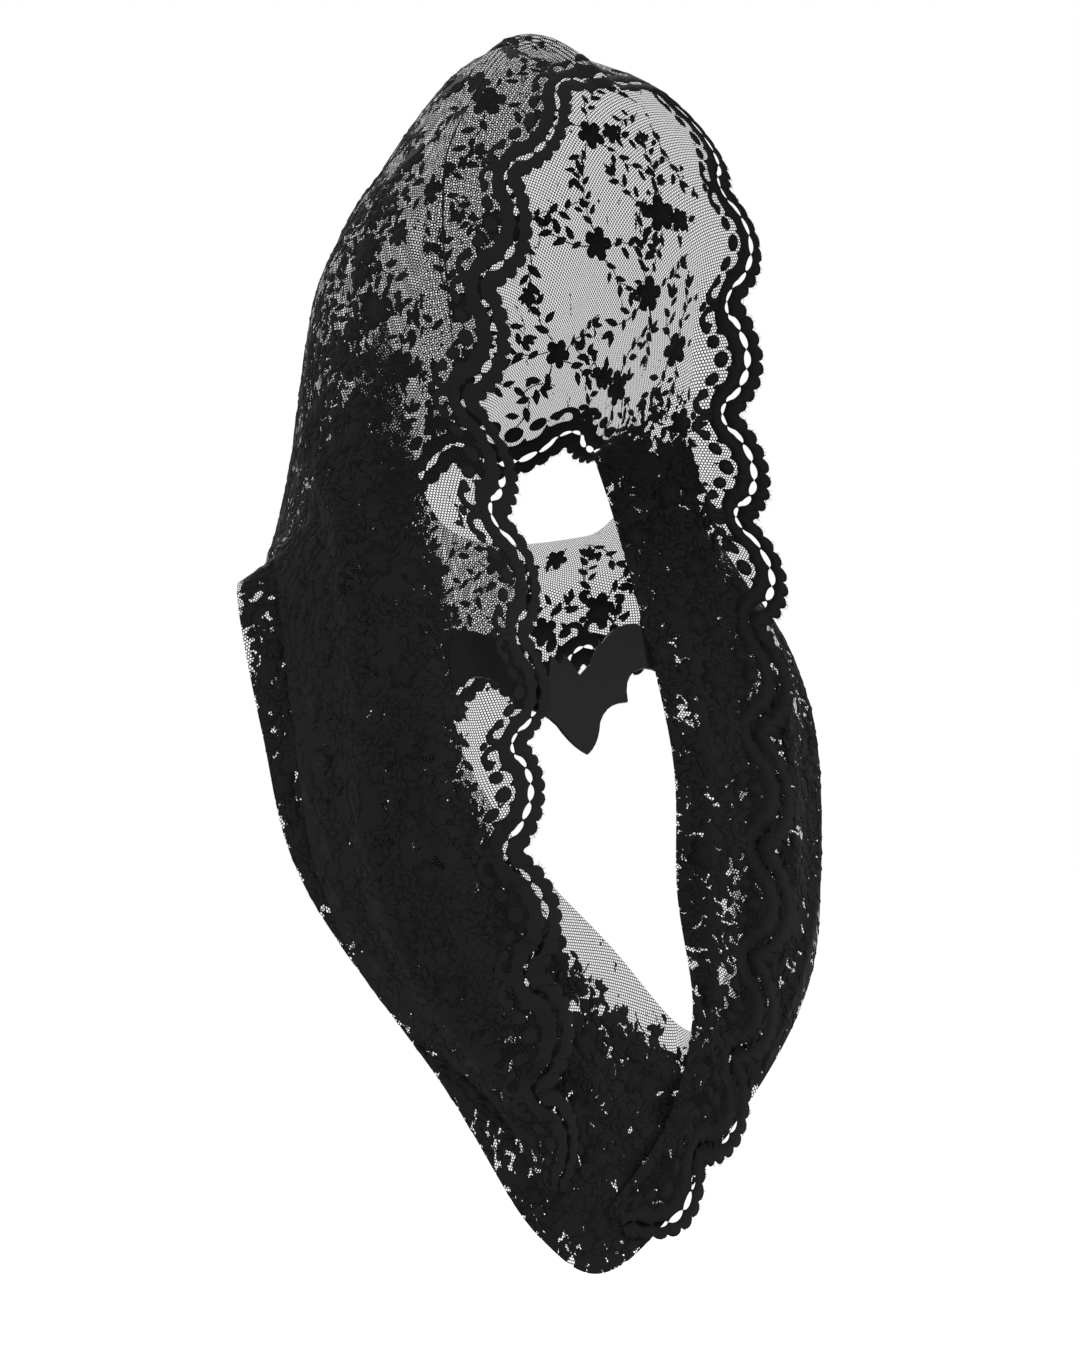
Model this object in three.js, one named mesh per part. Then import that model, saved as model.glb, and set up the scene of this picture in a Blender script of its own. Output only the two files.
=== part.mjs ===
// Lace hood veil: a long scalloped lace strip worn in two turns, with a bat clasp on the chest.
// The hood turn goes over the head and hangs down both sides of the face. The cowl turn goes
// round the neck and shoulders. Both meet at the foot of the V in front.
// Millimetres. The wearer faces -Y and +Z is up. The origin is where the crown of the head sits.
// "Near" is the wearer's right side, at -X, and "far" is the left side, at +X.
import * as THREE from 'three';

// Size of the whole veil
const DROP = 760; // crown of the head down to the lowest point of the lace
const HALF_SPAN = 200; // middle of the neck out to the side of a shoulder
const REACH = 150; // line of the shoulders out to the lace in front or behind

// Lace strip
const LACE_WALL = 1.2;
const SEAT_GAP = 0.3; // between two pieces that lie on each other
const CLASP_GAP = 0.6; // between the clasp and the lace that it lies on
const SCALLOP_PITCH = 72;
const SCALLOP_START = 13; // near foot of the hood turn to its first cusp
const SCALLOP_DEPTH = 19;
const SCALLOP_ROUND = 0.7; // under 1 gives full lobes with sharp cusps
const BORDER_DEPTH = 40; // tips of the scallops to the inland side of the row of dots
const CORD_BAND = 10.5; // outer cord between the edge and the gaps
const GAP_WIDTH = 4;
const GAPS_PER_SCALLOP = 4;
const RUNG_SHARE = 0.26; // bridge between two gaps, as a share of their pitch
const BORDER_SHARE = 0.65; // most of a narrow section that its border takes
const END_MARGIN = 6; // plain lace at each foot of the hood turn
const FOLD_HEIGHT = 10;

// Bat clasp
const BAT_HALF_SPAN = 98;
const BAT_TAIL = 59; // below the notch between the ears
const BAT_WING_TOP = 26; // above that notch
const BAT_PLATE = 2;
const BAT_BODY = 30; // half the breadth of its middle, which the lace doesn't press on
const BAT_LEAN = 0.38; // radians that its lower end stands forward
const BAT_TILT = 0.04; // radians that the far wing is raised

// The clasp hangs behind the hood turn: near wing under the front edge, far wing under the
// plain edge. Heights are shares of DROP and the head is a share of HALF_SPAN from the middle.
const BAT_HEAD_X = -0.175;
const BAT_HEAD_Z = -0.51;

// How finely the lace is divided
const FIELD_STOPS = 4; // columns for each scallop away from the edges
const HEM_STOPS = 6; // columns for each scallop along a hem
const HOOD_FIELD_ROWS = 7;
const COWL_FIELD_ROWS = 6;
const LENGTH_STEPS = 600;
const WIDTH_STEPS = 24;
const CLASP_STEPS = 12; // places along each side of a face that are tried against the clasp
const CLASP_ROUNDS = 8;
const CLASP_OVERSIZE = 1.03; // outline that the lace is tried in, as a share of the real one

// Sections across the hood turn, from its near foot over the crown to its far foot.
// Each is drawn from the front edge towards the pull and on to the hem.
// x is a share of HALF_SPAN, y of REACH and z of DROP. lobe is 1 where the hem is scalloped.
const HOOD_COLUMNS = ['name', 'front_x', 'front_y', 'front_z', 'pull_x', 'pull_y', 'pull_z',
  'hem_x', 'hem_y', 'hem_z', 'lobe'];
const HOOD_SECTIONS = [
  ['near_foot', -0.26, -0.69, -0.950, -0.30, -0.69, -0.953, -0.35, -0.65, -0.958, 0.0],
  ['near_waist', -0.31, -0.79, -0.849, -0.44, -0.81, -0.853, -0.52, -0.61, -0.863, 0.0],
  ['near_rib', -0.34, -0.78, -0.737, -0.68, -0.80, -0.750, -0.79, -0.28, -0.776, 0.0],
  ['near_breast', -0.40, -0.74, -0.632, -0.84, -0.79, -0.634, -0.92, -0.08, -0.675, 0.0],
  ['near_chest', -0.25, -0.45, -0.516, -0.89, -0.82, -0.507, -0.96, 0.03, -0.550, 0.0],
  ['near_collar', -0.30, -0.44, -0.408, -0.91, -0.62, -0.384, -0.90, 0.32, -0.418, 0.0],
  ['near_chin', -0.46, -0.56, -0.305, -1.00, -0.12, -0.211, -0.68, 0.87, -0.429, 0.0],
  ['near_cheek', -0.45, -0.68, -0.211, -1.07, 0.44, -0.084, -0.33, 1.01, -0.389, 0.3],
  ['near_temple', -0.37, -0.66, -0.129, -0.80, 0.64, 0.013, -0.13, 1.05, -0.368, 1.0],
  ['near_crown', -0.18, -0.56, -0.061, -0.37, 0.73, 0.142, -0.02, 1.05, -0.361, 1.0],
  ['crown', 0.01, -0.53, -0.040, -0.07, 0.81, 0.138, 0.07, 1.03, -0.355, 1.0],
  ['far_crown', 0.19, -0.62, -0.055, 0.31, 0.69, 0.066, 0.20, 0.97, -0.347, 1.0],
  ['far_temple', 0.46, -0.60, -0.145, 0.50, 0.13, -0.085, 0.35, 0.77, -0.339, 1.0],
  ['far_cheek', 0.525, -0.535, -0.243, 0.36, -0.17, -0.217, 0.39, 0.52, -0.332, 0.6],
  ['far_chin', 0.57, -0.495, -0.339, 0.40, -0.17, -0.322, 0.30, 0.31, -0.332, 0.0],
  ['far_collar', 0.66, -0.48, -0.454, 0.50, -0.24, -0.424, 0.23, -0.07, -0.421, 0.0],
  ['far_breast', 0.60, -0.63, -0.612, 0.43, -0.61, -0.589, 0.21, -0.45, -0.579, 0.0],
  ['far_rib', 0.54, -0.73, -0.724, 0.35, -0.76, -0.708, 0.19, -0.53, -0.697, 0.0],
  ['far_waist', 0.40, -0.76, -0.855, 0.28, -0.79, -0.832, 0.17, -0.68, -0.797, 0.0],
  ['far_turn', 0.16, -0.75, -0.961, 0.09, -0.76, -0.934, 0.04, -0.73, -0.884, 0.0],
  ['far_foot', -0.08, -0.69, -0.997, -0.11, -0.69, -0.982, -0.15, -0.68, -0.950, 0.0],
];

// Sections across the cowl turn, round the neck from the foot of the V by way of the near
// shoulder. Each goes from the folded inner edge towards the pull and on to the outer hem.
const COWL_COLUMNS = HOOD_COLUMNS;
const COWL_SECTIONS = [
  ['front', 0.14, -0.64, -0.805, 0.07, -0.71, -0.895, -0.09, -0.67, -0.996, 0.0],
  ['near_front', -0.09, -0.59, -0.739, -0.25, -0.72, -0.842, -0.34, -0.56, -0.971, 0.0],
  ['near_rib', -0.35, -0.49, -0.664, -0.58, -0.64, -0.737, -0.57, -0.33, -0.853, 0.0],
  ['near_breast', -0.52, -0.32, -0.571, -0.79, -0.40, -0.618, -0.91, 0.03, -0.691, 0.0],
  ['near_chest', -0.44, -0.12, -0.487, -0.78, -0.27, -0.493, -0.99, 0.20, -0.568, 0.0],
  ['near_neck', -0.41, 0.16, -0.387, -0.73, 0.16, -0.389, -0.98, 0.44, -0.442, 0.2],
  ['near_back', -0.40, 0.53, -0.211, -0.56, 0.65, -0.311, -0.64, 0.77, -0.516, 1.0],
  ['back', -0.07, 0.80, -0.384, -0.07, 0.92, -0.434, -0.05, 0.97, -0.553, 1.0],
  ['far_back', 0.44, 0.67, -0.395, 0.63, 0.79, -0.405, 0.66, 0.87, -0.526, 1.0],
  ['far_neck', 0.48, 0.21, -0.355, 0.76, 0.27, -0.395, 1.03, 0.40, -0.476, 1.0],
  ['far_chest', 0.44, -0.09, -0.513, 0.85, -0.23, -0.489, 1.02, -0.01, -0.566, 0.4],
  ['far_breast', 0.44, -0.36, -0.618, 0.75, -0.53, -0.632, 0.92, -0.24, -0.691, 0.0],
  ['far_rib', 0.39, -0.55, -0.730, 0.58, -0.65, -0.770, 0.70, -0.53, -0.784, 0.0],
  ['far_waist', 0.26, -0.63, -0.800, 0.35, -0.69, -0.855, 0.37, -0.67, -0.879, 0.0],
];

// Folds: a ridge from one place on the strip to another. Along counts sections, across runs
// from 0 at the front edge to 1 at the hem, breadth is a share of the width and rise is a
// share of FOLD_HEIGHT.
const FOLD_COLUMNS = ['name', 'from_along', 'from_across', 'to_along', 'to_across', 'breadth',
  'rise'];
const HOOD_FOLDS = [
  ['crown_pleat', 9.7, 0.00, 9.6, 0.42, 0.035, 0.9],
  ['cheek_crease', 6.4, 0.22, 9.0, 0.17, 0.030, 0.4],
  ['near_front_fold', 1.6, 0.26, 5.2, 0.28, 0.055, -0.5],
  ['near_middle_fold', 1.0, 0.48, 5.0, 0.46, 0.060, 0.6],
  ['near_outer_fold', 1.4, 0.78, 6.2, 0.68, 0.055, 0.6],
  ['nape_near_fold', 7.9, 0.50, 7.2, 0.98, 0.045, 0.6],
  ['nape_fold', 9.5, 0.58, 9.4, 1.00, 0.045, 0.7],
  ['nape_far_fold', 11.2, 0.52, 11.6, 1.00, 0.045, 0.6],
  ['far_cheek_crease', 12.4, 0.34, 14.8, 0.42, 0.050, -0.5],
  ['far_front_fold', 15.0, 0.42, 18.6, 0.46, 0.080, 0.4],
  ['far_inner_fold', 15.2, 0.76, 18.4, 0.78, 0.080, -0.3],
];
const COWL_FOLDS = [
  ['cowl_upper_fold', -1.8, 0.24, 1.6, 0.20, 0.055, 0.5],
  ['cowl_middle_fold', -1.2, 0.46, 2.0, 0.46, 0.060, 0.5],
  ['near_chest_fold', 2.4, 0.52, 5.0, 0.44, 0.060, 0.4],
  ['nape_roll', 6.0, 0.46, 8.6, 0.50, 0.080, 0.6],
  ['far_shoulder_fold', 8.8, 0.44, 11.6, 0.48, 0.070, 0.5],
  ['far_chest_fold', 9.8, 0.78, 12.2, 0.76, 0.060, 0.4],
];

// Where the two feet of the hood turn lie on the cowl turn, as places on the cowl
const FOOT_COLUMNS = ['name', 'front_along', 'front_across', 'hem_along', 'hem_across'];
const HOOD_FEET = [
  ['near_foot', 0.72, 0.84, 1.02, 0.90],
  ['far_foot', 0.06, 0.955, 0.40, 0.78],
];
const FOLD_REACH = 0.22; // width of the strip that one section's length counts as, for folds

// Looks
const LACE_COLOUR = 0x17171a;
const CLASP_COLOUR = 0x121214;

const named = (columns, rows) => rows.map(
  (row) => Object.fromEntries(columns.map((column, i) => [column, row[i]])));

const SIDEWAYS = new THREE.Vector3(1, 0, 0);
const BACKWARDS = new THREE.Vector3(0, 1, 0);
const UPRIGHT = new THREE.Vector3(0, 0, 1);

const size = (x, y, z) => new THREE.Vector3(x * HALF_SPAN, y * REACH, z * DROP);

// Tables of places become one smooth line for each of a strip's three guides.
function guides(sections) {
  return {
    front: sections.map((s) => size(s.front_x, s.front_y, s.front_z)),
    pull: sections.map((s) => size(s.pull_x, s.pull_y, s.pull_z)),
    hem: sections.map((s) => size(s.hem_x, s.hem_y, s.hem_z)),
    lobe: sections.map((s) => new THREE.Vector3(s.lobe, 0, 0)),
  };
}

function smoothLine(points, closed, along) {
  const count = points.length;
  let first = Math.floor(along);
  if (!closed) first = Math.min(Math.max(first, 0), count - 2);
  const f = along - first;
  const at = (k) => {
    if (closed) return points[((k % count) + count) % count];
    if (k < 0) return points[0].clone().multiplyScalar(2).sub(points[1]);
    if (k >= count) return points[count - 1].clone().multiplyScalar(2).sub(points[count - 2]);
    return points[k];
  };
  const [a, b, c, d] = [at(first - 1), at(first), at(first + 1), at(first + 2)];
  const result = new THREE.Vector3();
  result.addScaledVector(a, 0.5 * (-f + 2 * f * f - f * f * f));
  result.addScaledVector(b, 0.5 * (2 - 5 * f * f + 3 * f * f * f));
  result.addScaledVector(c, 0.5 * (f + 4 * f * f - 3 * f * f * f));
  result.addScaledVector(d, 0.5 * (f * f * f - f * f));
  return result;
}

// One turn of the strip as a surface: a place along and across gives a point and a normal.
class LaceTurn {
  constructor(sections, folds, closed) {
    this.guides = guides(sections);
    this.folds = folds;
    this.closed = closed;
    this.count = sections.length;
    this.span = closed ? this.count : this.count - 1;
    this.sectionsMet = new Map();
    this.widthsMet = new Map();
    this.measure();
  }

  // The three guide points of one section, kept because each is asked for many times
  section(along) {
    if (!this.sectionsMet.has(along)) {
      this.sectionsMet.set(along, ['front', 'pull', 'hem'].map(
        (guide) => smoothLine(this.guides[guide], this.closed, along)));
    }
    return this.sectionsMet.get(along);
  }

  flat(along, across) {
    const [front, pull, hem] = this.section(along);
    const rest = 1 - across;
    return front.clone().multiplyScalar(rest * rest)
      .addScaledVector(pull, 2 * rest * across)
      .addScaledVector(hem, across * across);
  }

  normalOf(shape, along, across) {
    const step = 1e-3;
    const alongLow = this.closed ? along - step : Math.max(along - step, 0);
    const alongHigh = this.closed ? along + step : Math.min(along + step, this.span);
    const acrossLow = Math.max(across - step, 0);
    const acrossHigh = Math.min(across + step, 1);
    const run = shape(alongHigh, across).sub(shape(alongLow, across));
    const fall = shape(along, acrossHigh).sub(shape(along, acrossLow));
    return run.cross(fall).normalize();
  }

  foldLift(along, across) {
    let lift = 0;
    for (const fold of this.folds) {
      const turns = this.closed ? [-this.count, 0, this.count] : [0];
      for (const turn of turns) {
        const start = [(fold.from_along + turn) * FOLD_REACH, fold.from_across];
        const line = [(fold.to_along - fold.from_along) * FOLD_REACH,
          fold.to_across - fold.from_across];
        const here = [along * FOLD_REACH - start[0], across - start[1]];
        const length = Math.hypot(line[0], line[1]);
        const reached = (here[0] * line[0] + here[1] * line[1]) / (length * length);
        const part = Math.min(Math.max(reached, 0), 1);
        const away = Math.hypot(here[0] - part * line[0], here[1] - part * line[1]);
        const fade = Math.sin(Math.PI * (0.15 + 0.7 * part));
        lift += FOLD_HEIGHT * fold.rise * fade * Math.exp(-((away / fold.breadth) ** 2));
      }
    }
    return lift;
  }

  point(along, across) {
    const base = (u, v) => this.flat(u, v);
    const place = this.flat(along, across);
    const lift = this.foldLift(along, across);
    return place.addScaledVector(this.normalOf(base, along, across), lift);
  }

  normal(along, across) {
    return this.normalOf((u, v) => this.point(u, v), along, across);
  }

  // Lengths along both edges, to space the scallops
  measure() {
    this.lengths = [0, 1].map((across) => {
      const list = [0];
      let last = this.flat(0, across);
      for (let i = 1; i <= LENGTH_STEPS; i += 1) {
        const next = this.flat((this.span * i) / LENGTH_STEPS, across);
        list.push(list[i - 1] + next.distanceTo(last));
        last = next;
      }
      return list;
    });
  }

  edgeLength(edge) {
    return this.lengths[edge][LENGTH_STEPS];
  }

  placeAtLength(edge, length) {
    const list = this.lengths[edge];
    let i = 1;
    while (i < LENGTH_STEPS && list[i] < length) i += 1;
    const part = (length - list[i - 1]) / (list[i] - list[i - 1]);
    return (this.span * (i - 1 + Math.min(Math.max(part, 0), 1))) / LENGTH_STEPS;
  }

  lengthAtPlace(edge, along) {
    const spot = (along / this.span) * LENGTH_STEPS;
    const i = Math.min(Math.floor(spot), LENGTH_STEPS - 1);
    const list = this.lengths[edge];
    return list[i] + (spot - i) * (list[i + 1] - list[i]);
  }

  // Distances across one section, to place what is measured in mm from an edge
  widths(along) {
    if (this.widthsMet.has(along)) return this.widthsMet.get(along);
    const list = [0];
    let last = this.flat(along, 0);
    for (let i = 1; i <= WIDTH_STEPS; i += 1) {
      const next = this.flat(along, i / WIDTH_STEPS);
      list.push(list[i - 1] + next.distanceTo(last));
      last = next;
    }
    this.widthsMet.set(along, list);
    return list;
  }

  acrossAt(along, distance) {
    const list = this.widths(along);
    let i = 1;
    while (i < WIDTH_STEPS && list[i] < distance) i += 1;
    const part = (distance - list[i - 1]) / (list[i] - list[i - 1]);
    return (i - 1 + Math.min(Math.max(part, 0), 1)) / WIDTH_STEPS;
  }

  width(along) {
    return this.widths(along)[WIDTH_STEPS];
  }

  lobe(along) {
    return Math.min(Math.max(smoothLine(this.guides.lobe, this.closed, along).x, 0), 1);
  }
}

// Scallops of one edge. They go on evenly round a closed turn, and start at a length from the
// near foot of the hood turn.
function scallops(turn, edge) {
  const total = turn.edgeLength(edge);
  if (!turn.closed) return { pitch: SCALLOP_PITCH, start: SCALLOP_START, total };
  return { pitch: total / Math.round(total / SCALLOP_PITCH), start: 0, total };
}

// Places along one edge: each scallop has the same stops, given as shares of the scallop. An
// open turn also has a stop at each foot, and none so near a foot that its faces are slivers.
function scallopPlaces(turn, edge, stops) {
  const { pitch, start, total } = scallops(turn, edge);
  const places = [];
  const opens = [];
  const stopAt = (length, isGap) => {
    places.push(turn.placeAtLength(edge, length));
    opens.push(isGap);
  };
  if (!turn.closed) stopAt(0, false);
  const margin = turn.closed ? 0 : END_MARGIN;
  const fits = (length) => turn.closed || (length > margin && length < total - margin);
  for (let scallop = turn.closed ? 0 : -1; start + scallop * pitch < total - 1e-6; scallop += 1) {
    stops.forEach((stop, i) => {
      const length = start + (scallop + stop) * pitch;
      const end = start + (scallop + (stops[i + 1] ?? 1)) * pitch;
      if (fits(length)) stopAt(length, i % 2 === 1 && fits(end));
    });
  }
  if (!turn.closed) stopAt(total, false);
  return { places, opens };
}

// Depth of the scalloped edge below its tips at a length along that edge
function scallopCut(turn, edge, along) {
  const { pitch, start } = scallops(turn, edge);
  const length = turn.lengthAtPlace(edge, along) - start;
  const share = (((length / pitch) % 1) + 1) % 1;
  return SCALLOP_DEPTH * (1 - Math.sin(Math.PI * share) ** SCALLOP_ROUND);
}

const evenStops = (count) => Array.from({ length: count }, (_, i) => i / count);

// A rung at each cusp and between the gaps, so that stops alternate between rung and gap
function gapStops() {
  const stops = [0];
  for (let gap = 0; gap < GAPS_PER_SCALLOP; gap += 1) {
    stops.push((gap + RUNG_SHARE / 2) / GAPS_PER_SCALLOP);
    stops.push((gap + 1 - RUNG_SHARE / 2) / GAPS_PER_SCALLOP);
  }
  return stops;
}

const STOPS_WITH_GAPS = gapStops();

// Joins two rows of corners whose places along the strip differ, apart from the open gaps
function joinRows(above, below, closed, span, isOpen, add) {
  const upper = closed ? [...above.places, span] : above.places;
  const lower = closed ? [...below.places, span] : below.places;
  const corner = (row, list, i) => row.start + (closed ? i % row.places.length : i);
  let i = 0;
  let j = 0;
  while (i < upper.length - 1 || j < lower.length - 1) {
    const equal = upper[i + 1] === lower[j + 1];
    if (i < upper.length - 1 && j < lower.length - 1 && equal) {
      if (!isOpen(i)) {
        add(corner(above, upper, i), corner(below, lower, j), corner(below, lower, j + 1));
        add(corner(above, upper, i), corner(below, lower, j + 1), corner(above, upper, i + 1));
      }
      i += 1;
      j += 1;
    } else if (j >= lower.length - 1 || (i < upper.length - 1 && upper[i + 1] < lower[j + 1])) {
      add(corner(above, upper, i), corner(below, lower, j), corner(above, upper, i + 1));
      i += 1;
    } else {
      add(corner(above, upper, i), corner(below, lower, j), corner(below, lower, j + 1));
      j += 1;
    }
  }
}

// A closed wall from rows of places on a turn. Each row has its places along and a function
// that gives how far across the strip it lies there.
function laceWall(turn, rows) {
  const outer = [];
  const inner = [];
  let start = 0;
  for (const row of rows) {
    row.start = start;
    start += row.places.length;
    for (const along of row.places) {
      const across = row.across(along);
      const middle = turn.point(along, across);
      const normal = turn.normal(along, across);
      outer.push(middle.clone().addScaledVector(normal, LACE_WALL / 2));
      inner.push(middle.clone().addScaledVector(normal, -LACE_WALL / 2));
    }
  }
  const faces = [];
  for (let r = 0; r + 1 < rows.length; r += 1) {
    const isOpen = (i) => Boolean(rows[r].opens && rows[r].opens[i]);
    joinRows(rows[r], rows[r + 1], turn.closed, turn.span, isOpen,
      (a, b, c) => faces.push([a, b, c]));
  }
  return wallMesh(outer, inner, faces);
}

function wallMesh(outer, inner, faces) {
  const shift = outer.length;
  const used = new Set();
  for (const [a, b, c] of faces) {
    for (const [p, q] of [[a, b], [b, c], [c, a]]) used.add(`${p} ${q}`);
  }
  const index = [];
  for (const [a, b, c] of faces) {
    index.push(a, b, c, a + shift, c + shift, b + shift);
    for (const [p, q] of [[a, b], [b, c], [c, a]]) {
      if (!used.has(`${q} ${p}`)) index.push(q, p, p + shift, q, p + shift, q + shift);
    }
  }
  const geometry = new THREE.BufferGeometry();
  geometry.setFromPoints([...outer, ...inner]);
  geometry.setIndex(index);
  return facingOut(geometry);
}

// Turns a closed mesh the right way out
function facingOut(geometry) {
  const place = geometry.getAttribute('position');
  const index = geometry.getIndex().array;
  const corner = (i) => new THREE.Vector3().fromBufferAttribute(place, index[i]);
  let volume = 0;
  for (let i = 0; i < index.length; i += 3) {
    volume += corner(i).dot(corner(i + 1).cross(corner(i + 2)));
  }
  if (volume < 0) {
    for (let i = 0; i < index.length; i += 3) {
      [index[i + 1], index[i + 2]] = [index[i + 2], index[i + 1]];
    }
  }
  return geometry;
}

// The border keeps its real depth, or less where a section is narrow.
function borderScale(turn, along) {
  return Math.min(1, (BORDER_SHARE * turn.width(along)) / BORDER_DEPTH);
}

function hemAcross(turn, along) {
  const cut = turn.lobe(along) * scallopCut(turn, 1, along);
  return turn.acrossAt(along, turn.width(along) - cut);
}

// Rows between the border and the hem, at even shares of what is left
function fieldRows(turn, places, first, last, count) {
  return Array.from({ length: count }, (_, row) => ({
    places,
    across: (along) => {
      const from = first(along);
      const to = last(along);
      return from + ((to - from) * row) / count;
    },
  }));
}

function hemRow(turn) {
  const { places } = scallopPlaces(turn, 1, evenStops(HEM_STOPS));
  return { places, across: (along) => hemAcross(turn, along) };
}

function hoodRows(turn) {
  const { places, opens } = scallopPlaces(turn, 0, STOPS_WITH_GAPS);
  const field = scallopPlaces(turn, 0, evenStops(FIELD_STOPS));
  const fromEdge = (distance) => (along) => turn.acrossAt(
    along, (scallopCut(turn, 0, along) + distance) * borderScale(turn, along));
  const inland = (along) => turn.acrossAt(along, BORDER_DEPTH * borderScale(turn, along));
  const outland = (along) => turn.acrossAt(
    along, turn.width(along) - turn.lobe(along) * SCALLOP_DEPTH - SEAT_GAP);
  return [
    { places, across: fromEdge(0) },
    { places, across: fromEdge(CORD_BAND), opens },
    { places, across: fromEdge(CORD_BAND + GAP_WIDTH) },
    ...fieldRows(turn, field.places, inland, outland, HOOD_FIELD_ROWS),
    hemRow(turn),
  ];
}

function cowlRows(turn) {
  const field = scallopPlaces(turn, 1, evenStops(FIELD_STOPS));
  const outland = (along) => turn.acrossAt(
    along, turn.width(along) - turn.lobe(along) * SCALLOP_DEPTH - SEAT_GAP);
  return [
    ...fieldRows(turn, field.places, () => 0, outland, COWL_FIELD_ROWS),
    hemRow(turn),
  ];
}

// A point just outside the cowl, where another lace wall can lie on it
function onCowl(cowl, along, across, standOff) {
  const place = cowl.point(along, across);
  const normal = cowl.normal(along, across);
  const outward = new THREE.Vector3(place.x, place.y, 0);
  return place.addScaledVector(normal, standOff * Math.sign(normal.dot(outward)));
}

// The hood turn's two feet take their places from the cowl turn that they lie on.
function seatFeet(sections, cowl) {
  const standOff = LACE_WALL + SEAT_GAP;
  for (const foot of named(FOOT_COLUMNS, HOOD_FEET)) {
    const section = sections.find((s) => s.name === foot.name);
    const middle = [(foot.front_along + foot.hem_along) / 2,
      (foot.front_across + foot.hem_across) / 2];
    const front = onCowl(cowl, foot.front_along, foot.front_across, standOff);
    const hem = onCowl(cowl, foot.hem_along, foot.hem_across, standOff);
    const pull = onCowl(cowl, middle[0], middle[1], standOff).multiplyScalar(2)
      .addScaledVector(front, -0.5).addScaledVector(hem, -0.5);
    for (const [key, place] of [['front', front], ['pull', pull], ['hem', hem]]) {
      section[`${key}_x`] = place.x / HALF_SPAN;
      section[`${key}_y`] = place.y / REACH;
      section[`${key}_z`] = place.z / DROP;
    }
  }
  return sections;
}

// Outline of a generic bat, drawn from the notch between its ears. Shares of its half span and
// of its height over and under that notch.
function batShape() {
  const x = (share) => share * BAT_HALF_SPAN;
  const up = (share) => share * BAT_WING_TOP;
  const down = (share) => -share * BAT_TAIL;
  const shape = new THREE.Shape();
  const half = (side) => [
    ['line', x(0.065) * side, up(0.28)],
    ['line', x(0.14) * side, down(0.12)],
    ['curve', x(0.21) * side, down(0.05), x(0.27) * side, up(0.0)],
    ['line', x(0.39) * side, up(0.48)],
    ['line', x(0.41) * side, up(0.66)],
    ['line', x(0.425) * side, up(0.50)],
    ['curve', x(0.60) * side, up(1.04), x(0.80) * side, up(1.0)],
    ['curve', x(0.96) * side, up(0.80), x(1.0) * side, down(0.27)],
    ['curve', x(0.86) * side, down(0.05), x(0.72) * side, down(0.08)],
    ['curve', x(0.53) * side, down(0.12), x(0.50) * side, down(0.45)],
    ['curve', x(0.30) * side, down(0.44), x(0.19) * side, down(0.66)],
    ['curve', x(0.12) * side, down(0.90), 0, down(1.0)],
  ];
  const draw = ([kind, ...values]) => {
    if (kind === 'line') shape.lineTo(...values);
    else shape.quadraticCurveTo(...values);
  };
  shape.moveTo(0, 0);
  half(1).forEach(draw);
  // The other half runs back up the same outline.
  const other = half(-1);
  for (let i = other.length - 1; i >= 0; i -= 1) {
    const end = i === 0 ? [0, 0] : other[i - 1].slice(-2);
    const [kind, ...values] = other[i];
    if (kind === 'line') shape.lineTo(...end);
    else shape.quadraticCurveTo(values[0], values[1], ...end);
  }
  return shape;
}

// Places spread over those faces of a wall that come near the clasp
function placesNear(wall, centre) {
  const position = wall.getAttribute('position');
  const index = wall.getIndex().array;
  const corner = (i) => new THREE.Vector3().fromBufferAttribute(position, index[i]).sub(centre);
  const inReach = (place) => Math.abs(place.x) < BAT_HALF_SPAN * 1.5
    && Math.abs(place.z) < BAT_TAIL * 2 && place.y < 0;
  const places = [];
  for (let i = 0; i < index.length; i += 3) {
    const [a, b, c] = [corner(i), corner(i + 1), corner(i + 2)];
    if (![a, b, c].some(inReach)) continue;
    for (let m = 0; m <= CLASP_STEPS; m += 1) {
      for (let n = 0; m + n <= CLASP_STEPS; n += 1) {
        places.push(new THREE.Vector3().addScaledVector(a, m / CLASP_STEPS)
          .addScaledVector(b, n / CLASP_STEPS)
          .addScaledVector(c, 1 - (m + n) / CLASP_STEPS));
      }
    }
  }
  return places;
}

function isInside(outline, x, y) {
  let inside = false;
  outline.forEach((a, i) => {
    const b = outline[(i + 1) % outline.length];
    if ((a.y > y) !== (b.y > y) && x < a.x + ((b.x - a.x) * (y - a.y)) / (b.y - a.y)) {
      inside = !inside;
    }
  });
  return inside;
}

// The clasp hangs behind the hood turn. It is turned about the upright and moved until the lace
// clears it by the seat gap over each wing, as a plate that both sides press on.
function claspSeat(wall) {
  const centre = new THREE.Vector3(BAT_HEAD_X * HALF_SPAN, 0, BAT_HEAD_Z * DROP);
  const places = placesNear(wall, centre);
  const outline = batShape().getPoints(5)
    .map((point) => point.clone().multiplyScalar(CLASP_OVERSIZE));
  let turned = 0;
  // How far the lace stands into the clasp, and where along the wings, for one part of them
  const hardest = (isPart) => {
    let most = { push: -Infinity, across: 0 };
    for (const place of places) {
      const seen = place.clone();
      seen.y -= centre.y;
      seen.applyAxisAngle(UPRIGHT, -turned);
      seen.applyAxisAngle(SIDEWAYS, BAT_LEAN);
      seen.applyAxisAngle(BACKWARDS, BAT_TILT);
      const push = (seen.y + CLASP_GAP) / Math.cos(BAT_LEAN);
      if (push > most.push && isPart(seen.x) && isInside(outline, seen.x, seen.z)) {
        most = { push, across: seen.x };
      }
    }
    return most;
  };
  for (let round = 0; round < CLASP_ROUNDS; round += 1) {
    const near = hardest((across) => across < -BAT_BODY);
    const far = hardest((across) => across > BAT_BODY);
    const slope = (far.push - near.push) / (far.across - near.across);
    turned += slope;
    centre.y += near.push - slope * near.across;
  }
  centre.y += hardest(() => true).push;
  return { centre, turned };
}

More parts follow.
